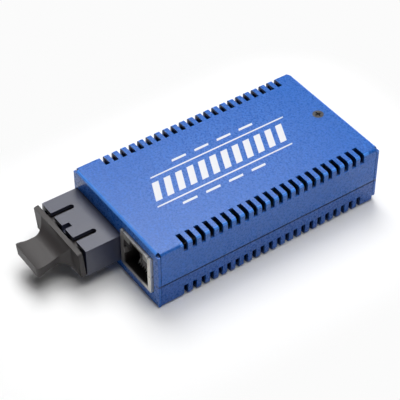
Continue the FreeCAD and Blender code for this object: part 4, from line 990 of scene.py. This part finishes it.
@dataclass
class DustPlug(Assembly):
    """The rubber plug that closes both optical ports, sizes in millimetres."""

    edge: float = 0.5
    edge_steps: int = 3
    grip: float = 11.3
    grip_half: float = 6.0
    lean: float = 0.8
    pinch: float = 0.8
    waist_reach: float = 1.2

    def build(self) -> List[str]:
        """Rounds the plug's edges as moulded rubber has them.

        Returns:
            The names of the pieces.
        """
        plug = softened("dust_plug", "rubber_plug", self.edge, self.edge_steps)
        self.sag(plug)
        adopt(plug, "dust_plug", "plug_rubber", "dust_plug")
        self.palette.dress(plug, Stock.RUBBER)
        return ["rubber_plug"]

    def sag(self, plug: bpy.types.Object) -> None:
        """Lets the rubber grip lean to one side, with one flank of its waist drawn in.

        Args:
            plug: the rounded plug.
        """
        low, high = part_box("dust_plug")
        root, tip = low.y + self.grip * MM, low.y
        middle = (low.x + high.x) / 2.0
        for vertex in plug.data.vertices:
            place = vertex.co
            if place.y >= root:
                continue
            share = min(1.0, (root - place.y) / (root - tip))
            ease = share * share * (3.0 - 2.0 * share)
            if place.x < middle:
                waist = math.sin(math.pi * min(1.0, share * self.waist_reach))
                place.x += self.pinch * MM * waist * (middle - place.x) / (self.grip_half * MM)
            place.x += self.lean * MM * ease
        plug.data.update()


@dataclass
class NetworkJack(Assembly):
    """The shielded jack."""

    finishes: ClassVar[Nodes] = {
        "lan_jack_shield": Stock.SHIELD, "lan_jack_housing": Stock.BLACK,
        "lan_jack_contacts": Stock.CONTACT, "lan_jack_lamps": Stock.LAMP}


@dataclass
class PowerJack(Assembly):
    """The barrel jack in the back."""

    finishes: ClassVar[Nodes] = {
        "power_jack_housing": Stock.BLACK, "power_jack_pin": Stock.NICKEL,
        "power_jack_spring": Stock.TIN, "power_jack_switch": Stock.TIN}


# ---------------------------------------------------------------- studio

@dataclass(frozen=True)
class Lamp:
    """One soft square lamp that faces the origin, place and side in metres."""

    name: str
    place: Triple
    side: float
    watts: float

    def build(self) -> None:
        """Adds the lamp to the scene."""
        light = bpy.data.lights.new(self.name, "AREA")
        light.shape, light.size, light.size_y = "RECTANGLE", self.side, self.side
        light.energy = self.watts
        aimed(placed(self.name, light), self.place, -Vector(self.place))


@dataclass
class Studio:
    """Floor, light and camera.

    Places are in metres. The floor is lit over a rectangle round the object, and past fade,
    in millimetres from that rectangle, it is the backdrop's white.
    """

    camera_place: Triple = (0.26854, -0.19829, 0.31650)
    forward: Triple = (-0.5979, 0.4186, -0.6836)
    lens: float = 131.35
    sensor: float = 36.0
    clip: Span = (0.01, 10.0)
    backdrop: float = 0.965
    floor_drop: float = 0.00005
    floor_reach: float = 1.5
    floor_greys: Span = (0.935, 0.95)
    floor_clouds: float = 3.0
    lit_middle: float = -12.0
    lit_half: Span = (23.0, 54.0)
    fade: Span = (4.0, 42.0)
    horizon: Span = (0.05, 0.22)
    wall_strength: float = 0.20
    ceiling_strength: float = 0.06
    lamps: Tuple[Lamp, ...] = (
        Lamp("key_lamp", (-0.37, 0.16, 0.75), 0.5, 4.8),
        Lamp("overhead_lamp", (0.08, 0.07, 0.83), 0.6, 4.3),
        Lamp("side_lamp", (0.64, 0.21, 0.51), 0.5, 0.25))

    def build(self) -> None:
        """Makes the whole studio."""
        self.floor()
        self.world()
        for lamp in self.lamps:
            lamp.build()
        self.camera()

    def floor(self) -> None:
        """Lays a plain pale floor under the object, white to the camera away from it."""
        mesh = bpy.data.meshes.new("studio_floor")
        low = min(corner[2] for corner in CAD_BOX) - self.floor_drop
        reach = self.floor_reach
        mesh.from_pydata([(x * reach, y * reach, low) for x, y in
                          ((-1.0, -1.0), (1.0, -1.0), (1.0, 1.0), (-1.0, 1.0))],
                         [], [(0, 1, 2, 3)])
        item = placed("studio_floor", mesh)
        graph = MaterialGraph("studio_floor")
        vector = graph.vector()
        x, y, _ = graph.millimetres(vector)
        cloud = graph.noise(vector, self.floor_clouds, detail=1.0)
        dark, light = ((grey,) * 3 for grey in self.floor_greys)
        mesh.materials.append(graph.finish(
            Base_Color=graph.mix(cloud, dark, light), Roughness=0.8, Specular_IOR_Level=0.1))
        camera, mirrored = graph.rays()
        beside = (x.absolute() - self.lit_half[0]) | 0.0
        beyond = ((y - self.lit_middle).absolute() - self.lit_half[1]) | 0.0
        away = (beside * beside + beyond * beyond).step(*(edge ** 2 for edge in self.fade))
        white = graph.node("ShaderNodeEmission", inputs={"Color": (self.backdrop,) * 3})
        blend = graph.node("ShaderNodeMixShader", inputs={
            0: away * (camera | mirrored), 1: graph.shader.outputs[0], 2: white.outputs[0]})
        graph.feed(graph.out.inputs["Surface"], blend.outputs[0])

    def world(self) -> None:
        """Sets pale studio walls low all round and a dim ceiling, white to the camera."""
        world = bpy.data.worlds.new("studio_world")
        bpy.context.scene.world = world
        world.use_nodes = True
        graph = Graph(world.node_tree)
        way = graph.node("ShaderNodeTexCoord").outputs["Generated"]
        split = graph.node("ShaderNodeSeparateXYZ", inputs={0: way})
        height = Value(graph, split.outputs[2])
        light = graph.node("ShaderNodeBackground", inputs={
            "Color": (1.0, 1.0, 1.0),
            "Strength": height.step(*self.horizon, self.wall_strength, self.ceiling_strength)})
        plain = graph.node("ShaderNodeBackground", inputs={"Color": (self.backdrop,) * 3})
        camera, mirrored = graph.rays()
        seen = camera | mirrored * height.step(*self.horizon, 1.0, 0.0)
        shown = graph.node("ShaderNodeMixShader", inputs={
            0: seen, 1: light.outputs[0], 2: plain.outputs[0]})
        graph.node("ShaderNodeOutputWorld", inputs={"Surface": shown.outputs[0]})

    def camera(self) -> None:
        """Adds the camera."""
        data = bpy.data.cameras.new("studio_camera")
        data.lens, data.sensor_width = self.lens, self.sensor
        data.clip_start, data.clip_end = self.clip
        item = placed("studio_camera", data)
        aimed(item, self.camera_place, Vector(self.forward))
        bpy.context.scene.camera = item


def main() -> None:
    """Builds the looks in order and reports each piece."""
    logging.basicConfig(level=logging.INFO, format="%(message)s")
    palette = Palette()
    for assembly in (FoldedCase, Fasteners, CircuitBoard, SolderJoints, OpticalTransceiver,
                     DustPlug, NetworkJack, PowerJack):
        for name in assembly(palette).build():
            LOG.info("%s: %s", assembly.__name__, name)
    Studio().build()
    scene = bpy.context.scene
    scene.view_settings.view_transform = "Standard"


if __name__ == "__main__":
    main()
